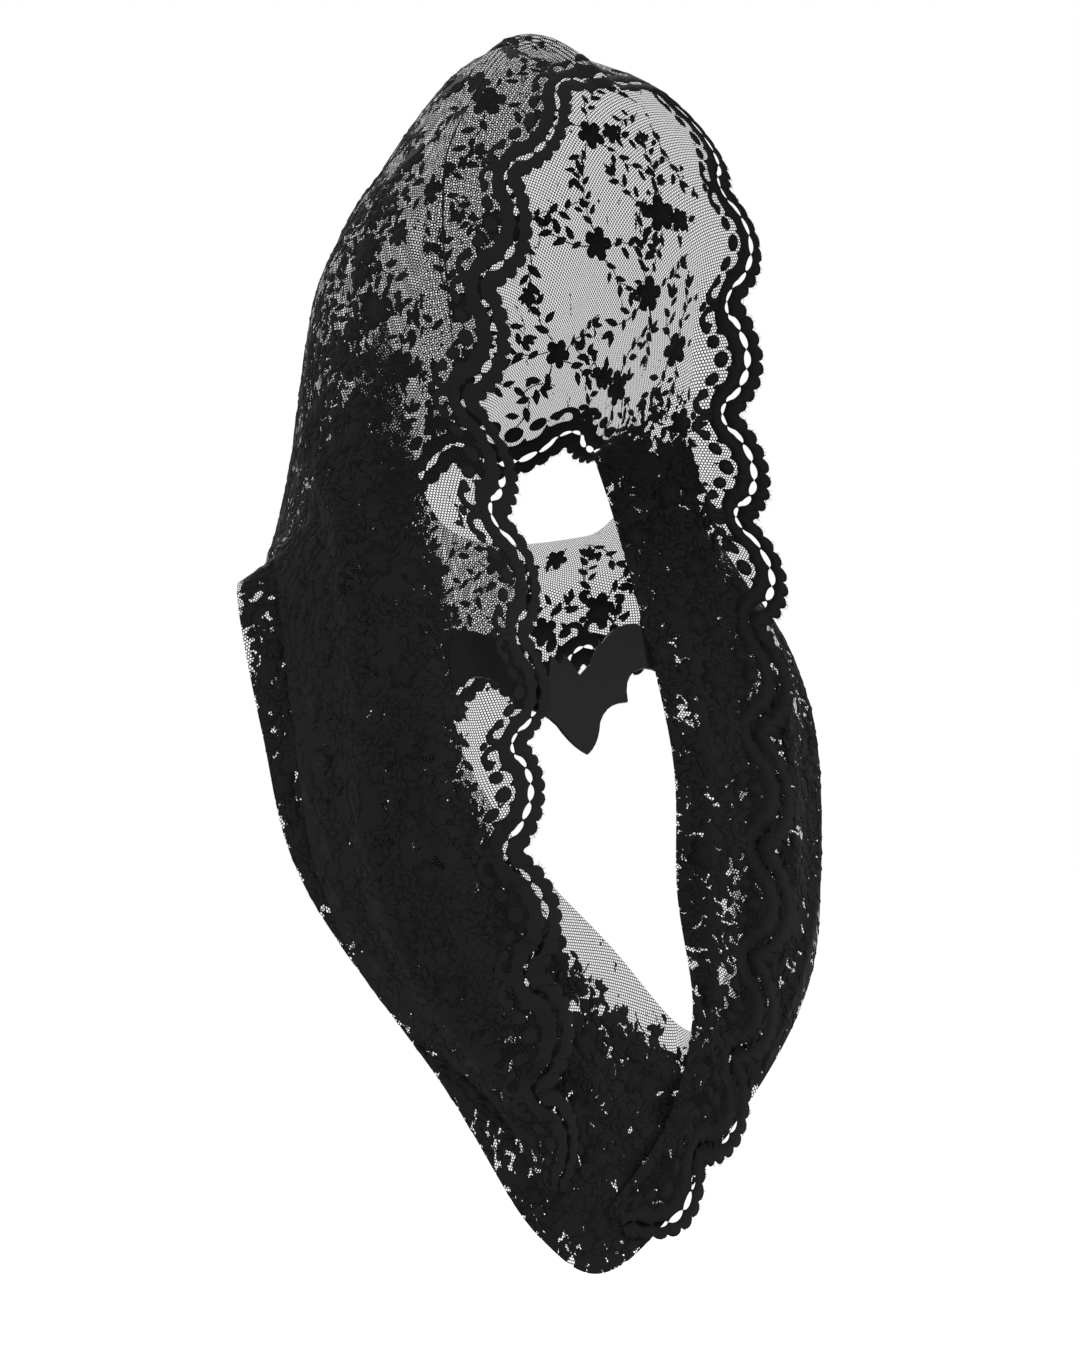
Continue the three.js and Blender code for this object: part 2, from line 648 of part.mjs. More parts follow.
function batClasp(wall) {
  const { centre, turned } = claspSeat(wall);
  const geometry = new THREE.ExtrudeGeometry(batShape(),
    { depth: BAT_PLATE, bevelEnabled: false, curveSegments: 5 });
  // The outline is drawn in X and Y, and the plate grows backwards from its front face.
  geometry.translate(0, 0, -BAT_PLATE);
  geometry.rotateX(Math.PI / 2);
  geometry.rotateY(-BAT_TILT);
  geometry.rotateX(-BAT_LEAN);
  geometry.rotateZ(turned);
  const mesh = new THREE.Mesh(geometry, new THREE.MeshStandardMaterial(
    { color: CLASP_COLOUR, roughness: 0.45, metalness: 0.0 }));
  mesh.name = 'bat_clasp';
  mesh.position.copy(centre);
  return mesh;
}

function lacePiece(name, geometry) {
  const mesh = new THREE.Mesh(geometry, new THREE.MeshStandardMaterial(
    { color: LACE_COLOUR, roughness: 0.85, metalness: 0.0 }));
  mesh.name = name;
  return mesh;
}

const cowl = new LaceTurn(named(COWL_COLUMNS, COWL_SECTIONS),
  named(FOLD_COLUMNS, COWL_FOLDS), true);
const hood = new LaceTurn(seatFeet(named(HOOD_COLUMNS, HOOD_SECTIONS), cowl),
  named(FOLD_COLUMNS, HOOD_FOLDS), false);

const hoodWall = laceWall(hood, hoodRows(hood));
const veil = new THREE.Group();
veil.add(lacePiece('hood_lace', hoodWall));
veil.add(lacePiece('cowl_lace', laceWall(cowl, cowlRows(cowl))));
veil.add(batClasp(hoodWall));

export default veil;
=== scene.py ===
import math
from functools import partial

import bmesh
import bpy
import numpy as np
from bpy.props import FloatProperty, FloatVectorProperty, IntProperty, PointerProperty
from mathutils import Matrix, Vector


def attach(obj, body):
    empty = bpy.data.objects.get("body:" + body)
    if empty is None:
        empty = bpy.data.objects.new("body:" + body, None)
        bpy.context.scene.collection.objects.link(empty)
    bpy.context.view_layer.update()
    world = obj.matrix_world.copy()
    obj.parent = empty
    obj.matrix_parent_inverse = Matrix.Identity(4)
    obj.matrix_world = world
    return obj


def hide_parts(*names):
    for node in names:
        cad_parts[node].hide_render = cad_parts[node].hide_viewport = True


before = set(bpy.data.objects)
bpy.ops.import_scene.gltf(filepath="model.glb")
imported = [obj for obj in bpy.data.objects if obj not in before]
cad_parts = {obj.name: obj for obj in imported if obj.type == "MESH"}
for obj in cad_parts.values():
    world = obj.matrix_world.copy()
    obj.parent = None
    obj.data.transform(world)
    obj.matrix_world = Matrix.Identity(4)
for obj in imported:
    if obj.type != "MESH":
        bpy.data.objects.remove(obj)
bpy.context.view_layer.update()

bl_info = {
    "name": "Lace hood veil",
    "version": (1, 0, 0),
    "blender": (4, 5, 0),
    "location": "View3D > Sidebar > Lace veil",
    "description": "Net, scalloped borders, sprays and clasp of a long lace hood veil",
    "category": "Object",
}

MM = 0.001

# The two turns of the lace strip, as sections across it. Each is drawn from the front edge
# towards the pull and on to the hem: x as a share of the half span, y of the reach, z of the
# drop. The lobe is 1 where the hem is scalloped. Bare is the plain net next to the front
# border in mm, and fill is how closely the rest is worked with flowers, from 0 to 1.
HOOD_SECTIONS = [
    ("near_foot", -0.26, -0.69, -0.950, -0.30, -0.69, -0.953, -0.35, -0.65, -0.958, 0.0, 0, 1.0),
    ("near_waist", -0.31, -0.79, -0.849, -0.44, -0.81, -0.853, -0.52, -0.61, -0.863, 0.0, 0, 1.0),
    ("near_rib", -0.34, -0.78, -0.737, -0.68, -0.80, -0.750, -0.79, -0.28, -0.776, 0.0, 0, 1.0),
    ("near_breast", -0.40, -0.74, -0.632, -0.84, -0.79, -0.634, -0.92, -0.08, -0.675, 0.0, 6, 1.0),
    ("near_chest", -0.25, -0.45, -0.516, -0.89, -0.82, -0.507, -0.96, 0.03, -0.550, 0.0, 42, 1.0),
    ("near_collar", -0.30, -0.44, -0.408, -0.91, -0.62, -0.384, -0.90, 0.32, -0.418, 0.0, 46, 0.95),
    ("near_chin", -0.46, -0.56, -0.305, -1.00, -0.12, -0.211, -0.68, 0.87, -0.429, 0.0, 42, 0.9),
    ("near_cheek", -0.45, -0.68, -0.211, -1.07, 0.44, -0.084, -0.33, 1.01, -0.389, 0.3, 46, 0.8),
    ("near_temple", -0.37, -0.66, -0.129, -0.80, 0.64, 0.013, -0.13, 1.05, -0.368, 1.0, 60, 0.7),
    ("near_crown", -0.18, -0.56, -0.061, -0.37, 0.73, 0.142, -0.02, 1.05, -0.361, 1.0, 70, 0.55),
    ("crown", 0.01, -0.53, -0.040, -0.07, 0.81, 0.138, 0.07, 1.03, -0.355, 1.0, 46, 0.5),
    ("far_crown", 0.19, -0.62, -0.055, 0.31, 0.69, 0.066, 0.20, 0.97, -0.347, 1.0, 34, 0.4),
    ("far_temple", 0.46, -0.60, -0.145, 0.50, 0.13, -0.085, 0.35, 0.77, -0.339, 1.0, 34, 0.4),
    ("far_cheek", 0.525, -0.535, -0.243, 0.36, -0.17, -0.217, 0.39, 0.52, -0.332, 0.6, 16, 0.7),
    ("far_chin", 0.57, -0.495, -0.339, 0.40, -0.17, -0.322, 0.30, 0.31, -0.332, 0.0, 2, 1.0),
    ("far_collar", 0.66, -0.48, -0.454, 0.50, -0.24, -0.424, 0.23, -0.07, -0.421, 0.0, 0, 1.0),
    ("far_breast", 0.60, -0.63, -0.612, 0.43, -0.61, -0.589, 0.21, -0.45, -0.579, 0.0, 0, 1.0),
    ("far_rib", 0.54, -0.73, -0.724, 0.35, -0.76, -0.708, 0.19, -0.53, -0.697, 0.0, 0, 1.0),
    ("far_waist", 0.40, -0.76, -0.855, 0.28, -0.79, -0.832, 0.17, -0.68, -0.797, 0.0, 0, 1.0),
    ("far_turn", 0.16, -0.75, -0.961, 0.09, -0.76, -0.934, 0.04, -0.73, -0.884, 0.0, 0, 1.0),
    ("far_foot", -0.08, -0.69, -0.997, -0.11, -0.69, -0.982, -0.15, -0.68, -0.950, 0.0, 0, 1.0),
]
COWL_SECTIONS = [
    ("front", 0.14, -0.64, -0.805, 0.07, -0.71, -0.895, -0.09, -0.67, -0.996, 0.0, 8, 1.0),
    ("near_front", -0.09, -0.59, -0.739, -0.25, -0.72, -0.842, -0.34, -0.56, -0.971, 0.0, 26, 1.0),
    ("near_rib", -0.35, -0.49, -0.664, -0.58, -0.64, -0.737, -0.57, -0.33, -0.853, 0.0, 10, 1.0),
    ("near_breast", -0.52, -0.32, -0.571, -0.79, -0.40, -0.618, -0.91, 0.03, -0.691, 0.0, 0, 1.0),
    ("near_chest", -0.44, -0.12, -0.487, -0.78, -0.27, -0.493, -0.99, 0.20, -0.568, 0.0, 0, 1.0),
    ("near_neck", -0.41, 0.16, -0.387, -0.73, 0.16, -0.389, -0.98, 0.44, -0.442, 0.2, 0, 1.0),
    ("near_back", -0.40, 0.53, -0.211, -0.56, 0.65, -0.311, -0.64, 0.77, -0.516, 1.0, 0, 0.7),
    ("back", -0.07, 0.80, -0.384, -0.07, 0.92, -0.434, -0.05, 0.97, -0.553, 1.0, 0, 0.6),
    ("far_back", 0.44, 0.67, -0.395, 0.63, 0.79, -0.405, 0.66, 0.87, -0.526, 1.0, 0, 0.7),
    ("far_neck", 0.48, 0.21, -0.355, 0.76, 0.27, -0.395, 1.03, 0.40, -0.476, 1.0, 0, 0.8),
    ("far_chest", 0.44, -0.09, -0.513, 0.85, -0.23, -0.489, 1.02, -0.01, -0.566, 0.4, 0, 0.95),
    ("far_breast", 0.44, -0.36, -0.618, 0.75, -0.53, -0.632, 0.92, -0.24, -0.691, 0.0, 0, 1.0),
    ("far_rib", 0.39, -0.55, -0.730, 0.58, -0.65, -0.770, 0.70, -0.53, -0.784, 0.0, 0, 1.0),
    ("far_waist", 0.26, -0.63, -0.800, 0.35, -0.69, -0.855, 0.37, -0.67, -0.879, 0.0, 0, 1.0),
]

# Folds: from a place along and across the strip to another, with the breadth as a share of
# the width and the rise as a share of the fold height
HOOD_FOLDS = [
    ("crown_pleat", 9.7, 0.00, 9.6, 0.42, 0.035, 0.9),
    ("cheek_crease", 6.4, 0.22, 9.0, 0.17, 0.030, 0.4),
    ("near_front_fold", 1.6, 0.26, 5.2, 0.28, 0.055, -0.5),
    ("near_middle_fold", 1.0, 0.48, 5.0, 0.46, 0.060, 0.6),
    ("near_outer_fold", 1.4, 0.78, 6.2, 0.68, 0.055, 0.6),
    ("nape_near_fold", 7.9, 0.50, 7.2, 0.98, 0.045, 0.6),
    ("nape_fold", 9.5, 0.58, 9.4, 1.00, 0.045, 0.7),
    ("nape_far_fold", 11.2, 0.52, 11.6, 1.00, 0.045, 0.6),
    ("far_cheek_crease", 12.4, 0.34, 14.8, 0.42, 0.050, -0.5),
    ("far_front_fold", 15.0, 0.42, 18.6, 0.46, 0.080, 0.4),
    ("far_inner_fold", 15.2, 0.76, 18.4, 0.78, 0.080, -0.3),
]
COWL_FOLDS = [
    ("cowl_upper_fold", -1.8, 0.24, 1.6, 0.20, 0.055, 0.5),
    ("cowl_middle_fold", -1.2, 0.46, 2.0, 0.46, 0.060, 0.5),
    ("near_chest_fold", 2.4, 0.52, 5.0, 0.44, 0.060, 0.4),
    ("nape_roll", 6.0, 0.46, 8.6, 0.50, 0.080, 0.6),
    ("far_shoulder_fold", 8.8, 0.44, 11.6, 0.48, 0.070, 0.5),
    ("far_chest_fold", 9.8, 0.78, 12.2, 0.76, 0.060, 0.4),
]
# Where the front and hem corners of the hood's feet lie on the cowl, along and across it
HOOD_FEET = [("near_foot", 0.72, 0.84, 1.02, 0.90), ("far_foot", 0.06, 0.955, 0.40, 0.78)]
FOLD_REACH = 0.22  # one section along, as a share of the width across
LACE_WALL = 1.2
SEAT_GAP = 0.3
BORDER_SHARE = 0.65  # of the width, at most, for a border
SCALLOP_START = 13  # first cusp of an open edge


def smooth_line(points, closed):
    """A smooth line through points, as a function of the place along them."""
    points = np.asarray(points, float)
    count = len(points)

    def at(along):
        along = np.asarray(along, float)
        first = np.floor(along).astype(int)
        if not closed:
            first = np.clip(first, 0, count - 2)
        f = (along - first)[..., None]

        def row(k):
            if closed:
                return points[np.mod(k, count)]
            inside = points[np.clip(k, 0, count - 1)]
            inside = np.where((k < 0)[..., None], 2 * points[0] - points[1], inside)
            return np.where((k > count - 1)[..., None], 2 * points[-1] - points[-2], inside)

        a, b, c, d = row(first - 1), row(first), row(first + 1), row(first + 2)
        return 0.5 * (2 * b + (c - a) * f + (2 * a - 5 * b + 4 * c - d) * f**2
                      + (3 * b - a - 3 * c + d) * f**3)

    return at


def running_sum(steps):
    """Sums from 0 along the last axis."""
    start = np.zeros((*steps.shape[:-1], 1))
    return np.concatenate([start, np.cumsum(steps, axis=-1)], axis=-1)


def between(table, i, j, fx, fy):
    """A value between the four at the corners of a cell."""
    low = table[i, j] * (1 - fy) + table[i, j + 1] * fy
    high = table[i + 1, j] * (1 - fy) + table[i + 1, j + 1] * fy
    return low * (1 - fx) + high * fx


class LaceTurn:
    """One turn of the lace strip, sampled on a fine grid. Lengths are in mm."""

    ALONG_STEPS = 1600
    ACROSS_STEPS = 140
    SHARE_STEPS = 200

    def __init__(self, sections, folds, closed, sizes, feet=None):
        self.closed = closed
        self.folds = folds
        self.count = len(sections)
        self.fold_height = sizes.fold_height / MM
        self.span = self.count if closed else self.count - 1
        scale = np.array([sizes.half_span, sizes.reach, sizes.drop]) / MM
        rails = [np.array([row[k:k + 3] for row in sections]) * scale for k in (1, 4, 7)]
        if feet:
            names = [row[0] for row in sections]
            for name, places in feet.items():
                for rail, place in zip(rails, places):
                    rail[names.index(name)] = place
        self.rails = [smooth_line(rail, closed) for rail in rails]
        self.looks = smooth_line([row[10:13] for row in sections], closed)
        along = np.linspace(0, self.span, self.ALONG_STEPS + 1)
        across = np.linspace(0, 1, self.ACROSS_STEPS + 1)
        u, v = np.meshgrid(along, across, indexing="ij")
        flat = self.flat(u, v)
        self.grid = flat + self.normals_of(flat) * self.fold_lift(u, v)[..., None]
        self.normals = self.normals_of(self.grid)
        self.along_list, self.across_list = along, across
        self.widths = running_sum(np.linalg.norm(np.diff(flat, axis=1), axis=2))
        self.full_width = self.widths[:, -1]
        shares = np.linspace(0, 1, self.SHARE_STEPS + 1)
        self.share_across = np.array([np.interp(shares * w[-1], w, across) for w in self.widths])
        run = np.linalg.norm(np.diff(flat, axis=0), axis=2)
        self.edge_lengths = [running_sum(run[:, side]) for side in (0, -1)]
        self.mean_length = running_sum(run.mean(axis=1))
        looks = self.looks(along)
        self.lobe = np.clip(looks[:, 0], 0, 1)
        self.bare = np.clip(looks[:, 1], 0, 200)
        self.fill = np.clip(looks[:, 2], 0, 1)
        self.border_scale = np.minimum(1, BORDER_SHARE * self.full_width * MM / sizes.border_depth)

    def flat(self, u, v):
        front, pull, hem = (rail(u) for rail in self.rails)
        v = np.asarray(v, float)[..., None]
        return (1 - v) ** 2 * front + 2 * v * (1 - v) * pull + v**2 * hem

    def normals_of(self, grid):
        run = np.gradient(grid, axis=0)
        if self.closed:
            run[0] = run[-1] = (grid[1] - grid[-2]) / 2
        normal = np.cross(run, np.gradient(grid, axis=1))
        return normal / np.maximum(np.linalg.norm(normal, axis=2, keepdims=True), 1e-9)

    def fold_lift(self, u, v):
        lift = np.zeros_like(u)
        for _, u0, v0, u1, v1, breadth, rise in self.folds:
            for turn in ((-self.count, 0, self.count) if self.closed else (0,)):
                line = np.array([(u1 - u0) * FOLD_REACH, v1 - v0])
                here = ((u - u0 - turn) * FOLD_REACH, v - v0)
                part = np.clip((here[0] * line[0] + here[1] * line[1]) / (line @ line), 0, 1)
                away = np.hypot(here[0] - part * line[0], here[1] - part * line[1])
                fade = np.sin(np.pi * (0.15 + 0.7 * part))
                lift += self.fold_height * rise * fade * np.exp(-((away / breadth) ** 2))
        return lift

    def column(self, along):
        """The grid's column before a place along the strip, and the share beyond it."""
        x = np.asarray(along, float) / self.span * self.ALONG_STEPS
        x = np.mod(x, self.ALONG_STEPS) if self.closed else np.clip(x, 0, self.ALONG_STEPS)
        i = np.minimum(x.astype(int), self.ALONG_STEPS - 1)
        return i, x - i

    def place(self, along, across, lift=0.0):
        """Points in mm, standing off the lace's middle by the lift."""
        i, fx = self.column(along)
        y = np.clip(across, 0, 1) * self.ACROSS_STEPS
        j = np.minimum(y.astype(int), self.ACROSS_STEPS - 1)
        cell = (i, j, fx[..., None], (y - j)[..., None])
        off = between(self.normals, *cell) * np.asarray(lift)[..., None]
        return between(self.grid, *cell) + off

    def across_at(self, along, distance):
        """The place across that lies at a distance from the front edge."""
        i, f = self.column(along)
        width = self.full_width[i] * (1 - f) + self.full_width[i + 1] * f
        y = np.clip(distance / width, 0, 1) * self.SHARE_STEPS
        j = np.minimum(y.astype(int), self.SHARE_STEPS - 1)
        return between(self.share_across, i, j, f, y - j)

    def from_front(self, along, across):
        """Distance of one place from the front edge."""
        return np.interp(across, self.across_list, self.widths[self.column(along)[0]])

    def at_along(self, values, along):
        along = np.mod(along, self.span) if self.closed else along
        return np.interp(along, self.along_list, values)

    def along_at(self, edge, length):
        total = self.edge_lengths[edge][-1]
        length = np.mod(length, total) if self.closed else np.clip(length, 0, total)
        return np.interp(length, self.edge_lengths[edge], self.along_list)

    def scallops(self, edge, pitch):
        """Pitch and first cusp of the scallops, which go on evenly round a closed turn."""
        total = self.edge_lengths[edge][-1]
        if self.closed:
            return total / round(total / pitch), 0
        return pitch, SCALLOP_START

    def from_edge(self, edge, length, depth, lift):
        """Points by a length along one edge and a depth from it."""
        along = self.along_at(edge, length)
        scale = self.at_along(self.border_scale, along)
        distance = depth * scale
        if edge == 1:
            distance = self.at_along(self.full_width, along) - distance
        return self.place(along, self.across_at(along, distance), lift)


def turns(sizes):
    """The cowl turn and the hood turn, whose two feet lie on the cowl."""
    cowl = LaceTurn(COWL_SECTIONS, COWL_FOLDS, True, sizes)
    stand_off = LACE_WALL + SEAT_GAP

    def seat(along, across):
        along, across = np.array([along]), np.array([across])
        middle = cowl.place(along, across)[0]
        normal = cowl.place(along, across, np.array([1.0]))[0] - middle
        side = np.sign(normal @ np.array([middle[0], middle[1], 0]))
        return middle + normal * stand_off * side

    feet = {}
    for name, u0, v0, u1, v1 in HOOD_FEET:
        front, hem = seat(u0 % cowl.count, v0), seat(u1 % cowl.count, v1)
        middle = seat((u0 + u1) / 2, (v0 + v1) / 2)
        feet[name] = (front, 2 * middle - front / 2 - hem / 2, hem)
    return LaceTurn(HOOD_SECTIONS, HOOD_FOLDS, False, sizes, feet), cowl


def add_object(context, name, data):
    item = bpy.data.objects.new(name, data)
    context.scene.collection.objects.link(item)
    return item


def new_piece(name, points, faces, material):
    """A mesh piece in metres from points in mm."""
    mesh = bpy.data.meshes.new(name)
    mesh.from_pydata((np.asarray(points) * MM).tolist(), [], faces)
    mesh.materials.append(material)
    mesh.shade_smooth()
    piece = add_object(bpy.context, name, mesh)
    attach(piece, "root")
    return piece


# Work drawn flat, in mm, before it is laid on the lace
PAD_TOP = 0.72  # share of a pad's outline that is at full rise
UNDERSIDE = 0.5  # depth below the lace, as a share of the rise
WHISKER_HALF = 0.16
CORD_TOP = 0.75  # share of a cord's breadth that is at full rise


def shifted(faces, base):
    return [[i + base for i in face] for face in faces]


class FlatWork:
    """Raised work drawn flat as points (x, y, height) and faces."""

    def __init__(self):
        self.points = []
        self.faces = []

    def add(self, points, faces):
        base = sum(len(p) for p in self.points)
        self.points.append(np.asarray(points, float))
        self.faces += shifted(faces, base)

    def all_points(self):
        return np.concatenate(self.points)

    def pad(self, outline, rise):
        """A low pillow over an outline of points."""
        n = len(outline)
        centre = outline.mean(axis=0)
        inner = centre + (outline - centre) * PAD_TOP
        faces = []
        for k in range(n):
            m = (k + 1) % n
            faces += [[k, m, n + m, n + k], [n + k, n + m, 2 * n], [m, k, 2 * n + 1]]
        self.add([*np.c_[outline, np.zeros(n)], *np.c_[inner, np.full(n, rise)],
                  [*centre, rise * 1.15], [*centre, -rise * UNDERSIDE]], faces)

    def thin_pad(self, outline, rise):
        """A pad of few faces, highest in its middle."""
        n = len(outline)
        centre = outline.mean(axis=0)
        faces = []
        for k in range(n):
            m = (k + 1) % n
            faces += [[k, m, n], [m, k, n + 1]]
        self.add([*np.c_[outline, np.zeros(n)], [*centre, rise],
                  [*centre, -rise * UNDERSIDE]], faces)

    def strip(self, low, high, rise):
        """A flat band between two lines of points that run side by side."""
        rings = ((1.0, 0.0), (0.9, rise), (0.1, rise), (0.0, 0.0), (0.5, -rise * UNDERSIDE))
        self.rings([(low + (high - low) * part, height) for part, height in rings])

    def whisker(self, foot, reach):
        """A loose thread end: a thin spike."""
        side = np.array([-reach[1], reach[0]]) / np.hypot(*reach) * WHISKER_HALF
        points = [[*(foot + side), 0], [*(foot - side), 0], [*foot, 0.22], [*(foot + reach), 0.1]]
        self.add(points, [[0, 1, 3], [1, 2, 3], [2, 0, 3], [0, 2, 1]])

    def band(self, path, half, rise):
        """A flat cord along a path, reaching half its breadth to either side."""
        run = np.gradient(path, axis=0)
        run /= np.linalg.norm(run, axis=1, keepdims=True)
        side = np.c_[-run[:, 1], run[:, 0]] * np.broadcast_to(half, len(path))[:, None]
        top = side * CORD_TOP
        self.rings([(path + side, 0), (path + top, rise), (path - top, rise),
                    (path - side, 0), (path, -rise * UNDERSIDE)])

    def rings(self, lines):
        """A closed body from lines of points that run side by side."""
        n, count = len(lines[0][0]), len(lines)
        points = np.concatenate([np.c_[line, np.full(n, height)] for line, height in lines])
        faces = []
        for k in range(n - 1):
            for r in range(count):
                q = (r + 1) % count
                faces.append([r * n + k, r * n + k + 1, q * n + k + 1, q * n + k])
        faces.append([r * n for r in range(count)])
        faces.append([r * n + n - 1 for r in reversed(range(count))])
        self.add(points, faces)


def turned(points, angle):
    c, s = math.cos(angle), math.sin(angle)
    return np.c_[points[:, 0] * c - points[:, 1] * s, points[:, 0] * s + points[:, 1] * c]


def ellipse(x, y, a, b, turn=0.0, steps=8):
    t = np.linspace(0, 2 * math.pi, steps, endpoint=False)
    return turned(np.c_[a * np.cos(t), b * np.sin(t)], turn) + (x, y)


def leaf_outline(length, breadth, bend=0.12):
    """A pointed leaf from its stalk at the origin along +x."""
    stops = [(0.0, 0.0), (0.2, 0.36), (0.45, 0.5), (0.72, 0.36), (1.0, 0.0),
             (0.74, -0.30), (0.45, -0.46), (0.2, -0.34)]
    return np.array([(x * length, y * breadth + bend * length * x * x) for x, y in stops])


# Border: depths are in mm inland of the scalloped edge
SCALLOP_POWER = 0.7  # lower makes a scallop rounder
BORDER_STEPS = 96  # along each scallop
BORDER_RISE = 0.6
SMALL_LOBES = 8  # along the edge of each scallop
LOBE_NOTCH = (0.4, 3.4)  # how far in a lobe's tip lies, and what a notch adds
CUSP_SHARE = 0.03  # of a scallop, at either end, where the notches fade out
GAPS = 7
GAP_MIDDLE = 12.0
GAP_HALF = (0.9, 1.5)  # half a gap's breadth at a cusp, and what it gains up to the tip
SECOND_BAND = (19.5, 4.0)  # depth of its inland side at a cusp, and what it gains
NET_START = 18.5  # depth of the net's edge, under the second band
DOTS = [(0.0, 5.5), (-12.2, 4.6), (12.2, 4.6), (-21.8, 3.6), (21.8, 3.6)]  # place and radius
DOT_STRETCH = 0.012  # for each mm from the scallop's middle
DOT_TIPS = (-17.4, -6.6, 6.6, 17.4)  # where the second band reaches in between two dots
TIP_REACH = 4.2
TIP_HALF = 1.2
DOT_CLEAR = 2.3  # open ring between a dot and the second band
CURL_ASIDE = 7.6  # middle of a curl from the cusp
CURL_INLAND = 23.0  # and from the cusp's depth
CURL_RADIUS = 6.0
CURL_ANGLES = np.radians(np.linspace(218, 2, 17))
CURL_HALF = np.linspace(2.5, 1.9, 17)
CURL_END = 2.4
KNOB_INLAND = 31.0  # from the cusp's depth
KNOB = (3.2, 2.6)
THREAD_ENDS = 60
THREAD_REACH = (1.8, 3.4)


def scallop_cut(share, depth):
    """Depth of the scalloped edge below its tips, by the share of one scallop."""
    return depth * (1 - np.sin(np.pi * np.mod(share, 1)) ** SCALLOP_POWER)


def parallel(x, distance, pitch, depth):
    """The line that keeps a distance inland of the scalloped edge."""
    x = np.atleast_1d(np.asarray(x, float))
    t = np.linspace(-1, 2, 1201) * pitch
    room = np.broadcast_to(distance, len(x))[:, None] ** 2 - (x[:, None] - t) ** 2
    line = scallop_cut(t / pitch, depth) + np.sqrt(np.maximum(room, 0))
    return np.where(room >= 0, line, -1e9).max(axis=1)


def inner_band_depth(x, pitch):
    """Depth of the second band's inland side, with a tip between every two dots."""
    least, gain = SECOND_BAND
    depth = least + gain * np.sqrt(np.sin(np.pi * np.clip(x / pitch, 0, 1)))
    for tip in DOT_TIPS:
        depth = depth + TIP_REACH * np.exp(-np.abs(x - pitch / 2 - tip) / TIP_HALF)
    return depth


def border_scallop(pitch, depth, random):
    """One scallop of the border, drawn flat: x along the edge and y inland."""
    work = FlatWork()
    step = np.linspace(0, 1, BORDER_STEPS + 1)
    x = pitch * (0.45 * step + 0.275 * (1 - np.cos(np.pi * step)))  # closer at the cusps
    edge = np.c_[x, scallop_cut(x / pitch, depth)]
    run = np.gradient(edge, axis=0)
    length = running_sum(np.hypot(*np.diff(edge, axis=0).T))
    share = length / length[-1]
    inward = np.c_[-run[:, 1], run[:, 0]] / np.hypot(run[:, 0], run[:, 1])[:, None]
    lobes = 1 - np.abs(np.sin(np.pi * share * SMALL_LOBES)) ** 0.6
    notch = LOBE_NOTCH[0] + LOBE_NOTCH[1] * lobes
    notch *= np.clip(np.minimum(share, 1 - share) / CUSP_SHARE, 0, 1)
    outer = edge + inward * notch[:, None]
    wave = np.clip((np.abs(np.sin(np.pi * share * GAPS)) - 0.2) / 0.8, 0, 1) ** 0.5
    half = (GAP_HALF[0] + GAP_HALF[1] * np.sin(np.pi * share)) * wave

    def inland(distance):
        return np.c_[x, parallel(x, distance, pitch, depth)]

    work.strip(outer, inland(GAP_MIDDLE - half), BORDER_RISE)
    work.strip(inland(GAP_MIDDLE + half), inland(inner_band_depth(x, pitch)), BORDER_RISE)
    for aside, radius in DOTS:
        middle = pitch / 2 + aside
        around = middle + np.array([-1.0, 0.0, 1.0])
        inner = inner_band_depth(middle, pitch) + DOT_CLEAR + radius
        y = parallel(around, inner, pitch, depth)
        turn = math.atan2(y[2] - y[0], 2.0)
        long = 1.0 + abs(aside) * DOT_STRETCH
        work.pad(ellipse(middle, y[1], radius * long, radius / long, turn, 12), BORDER_RISE)
    for place, way in ((CURL_ASIDE, 1), (pitch - CURL_ASIDE, -1)):
        path = np.c_[place + way * CURL_RADIUS * np.cos(CURL_ANGLES),
                     depth + CURL_INLAND + CURL_RADIUS * np.sin(CURL_ANGLES)]
        work.band(path[::way], CURL_HALF[::way], BORDER_RISE)
        work.pad(ellipse(*path[-1], CURL_END, CURL_END), BORDER_RISE)
    work.pad(ellipse(0.0, depth + KNOB_INLAND, *KNOB, steps=10), BORDER_RISE)
    for _ in range(THREAD_ENDS):
        k = random.integers(2, len(x) - 2)
        lean = random.normal(0, 0.5)
        away = -inward[k] + lean * np.array([-inward[k, 1], inward[k, 0]])
        work.whisker(outer[k] + inward[k] * 0.4, away * random.uniform(*THREAD_REACH))
    return work


def edge_work(turn, edge, sizes, random):
    """The border of one edge, as scallops set end to end."""
    depth = sizes.scallop_depth / MM
    pitch, start = turn.scallops(edge, sizes.scallop_pitch / MM)
    total = turn.edge_lengths[edge][-1]
    points, faces, base = [], [], 0
    for k in range(math.ceil((total - start) / pitch - 1e-6)):
        first = start + k * pitch
        last = min(first + pitch, total)
        middle = turn.along_at(edge, np.array([(first + last) / 2]))
        if last - first < pitch / 2:
            continue
        if edge == 1 and turn.at_along(turn.lobe, middle)[0] < 0.5:
            continue
        scallop = border_scallop(pitch, depth, random)
        drawn = scallop.all_points()
        length = first + drawn[:, 0] * (last - first) / pitch
        points.append(turn.from_edge(edge, length, drawn[:, 1], drawn[:, 2]))
        faces += shifted([face[::-1] for face in scallop.faces] if edge else scallop.faces, base)
        base += len(drawn)
    return np.concatenate(points), faces


# Crease that runs beside the near border: section, and depth from the edge in mm
CREASE = [(6.25, 36), (7.15, 62), (8.0, 78), (8.75, 88)]
CREASE_STEPS = 90
CREASE_HALF = 0.75


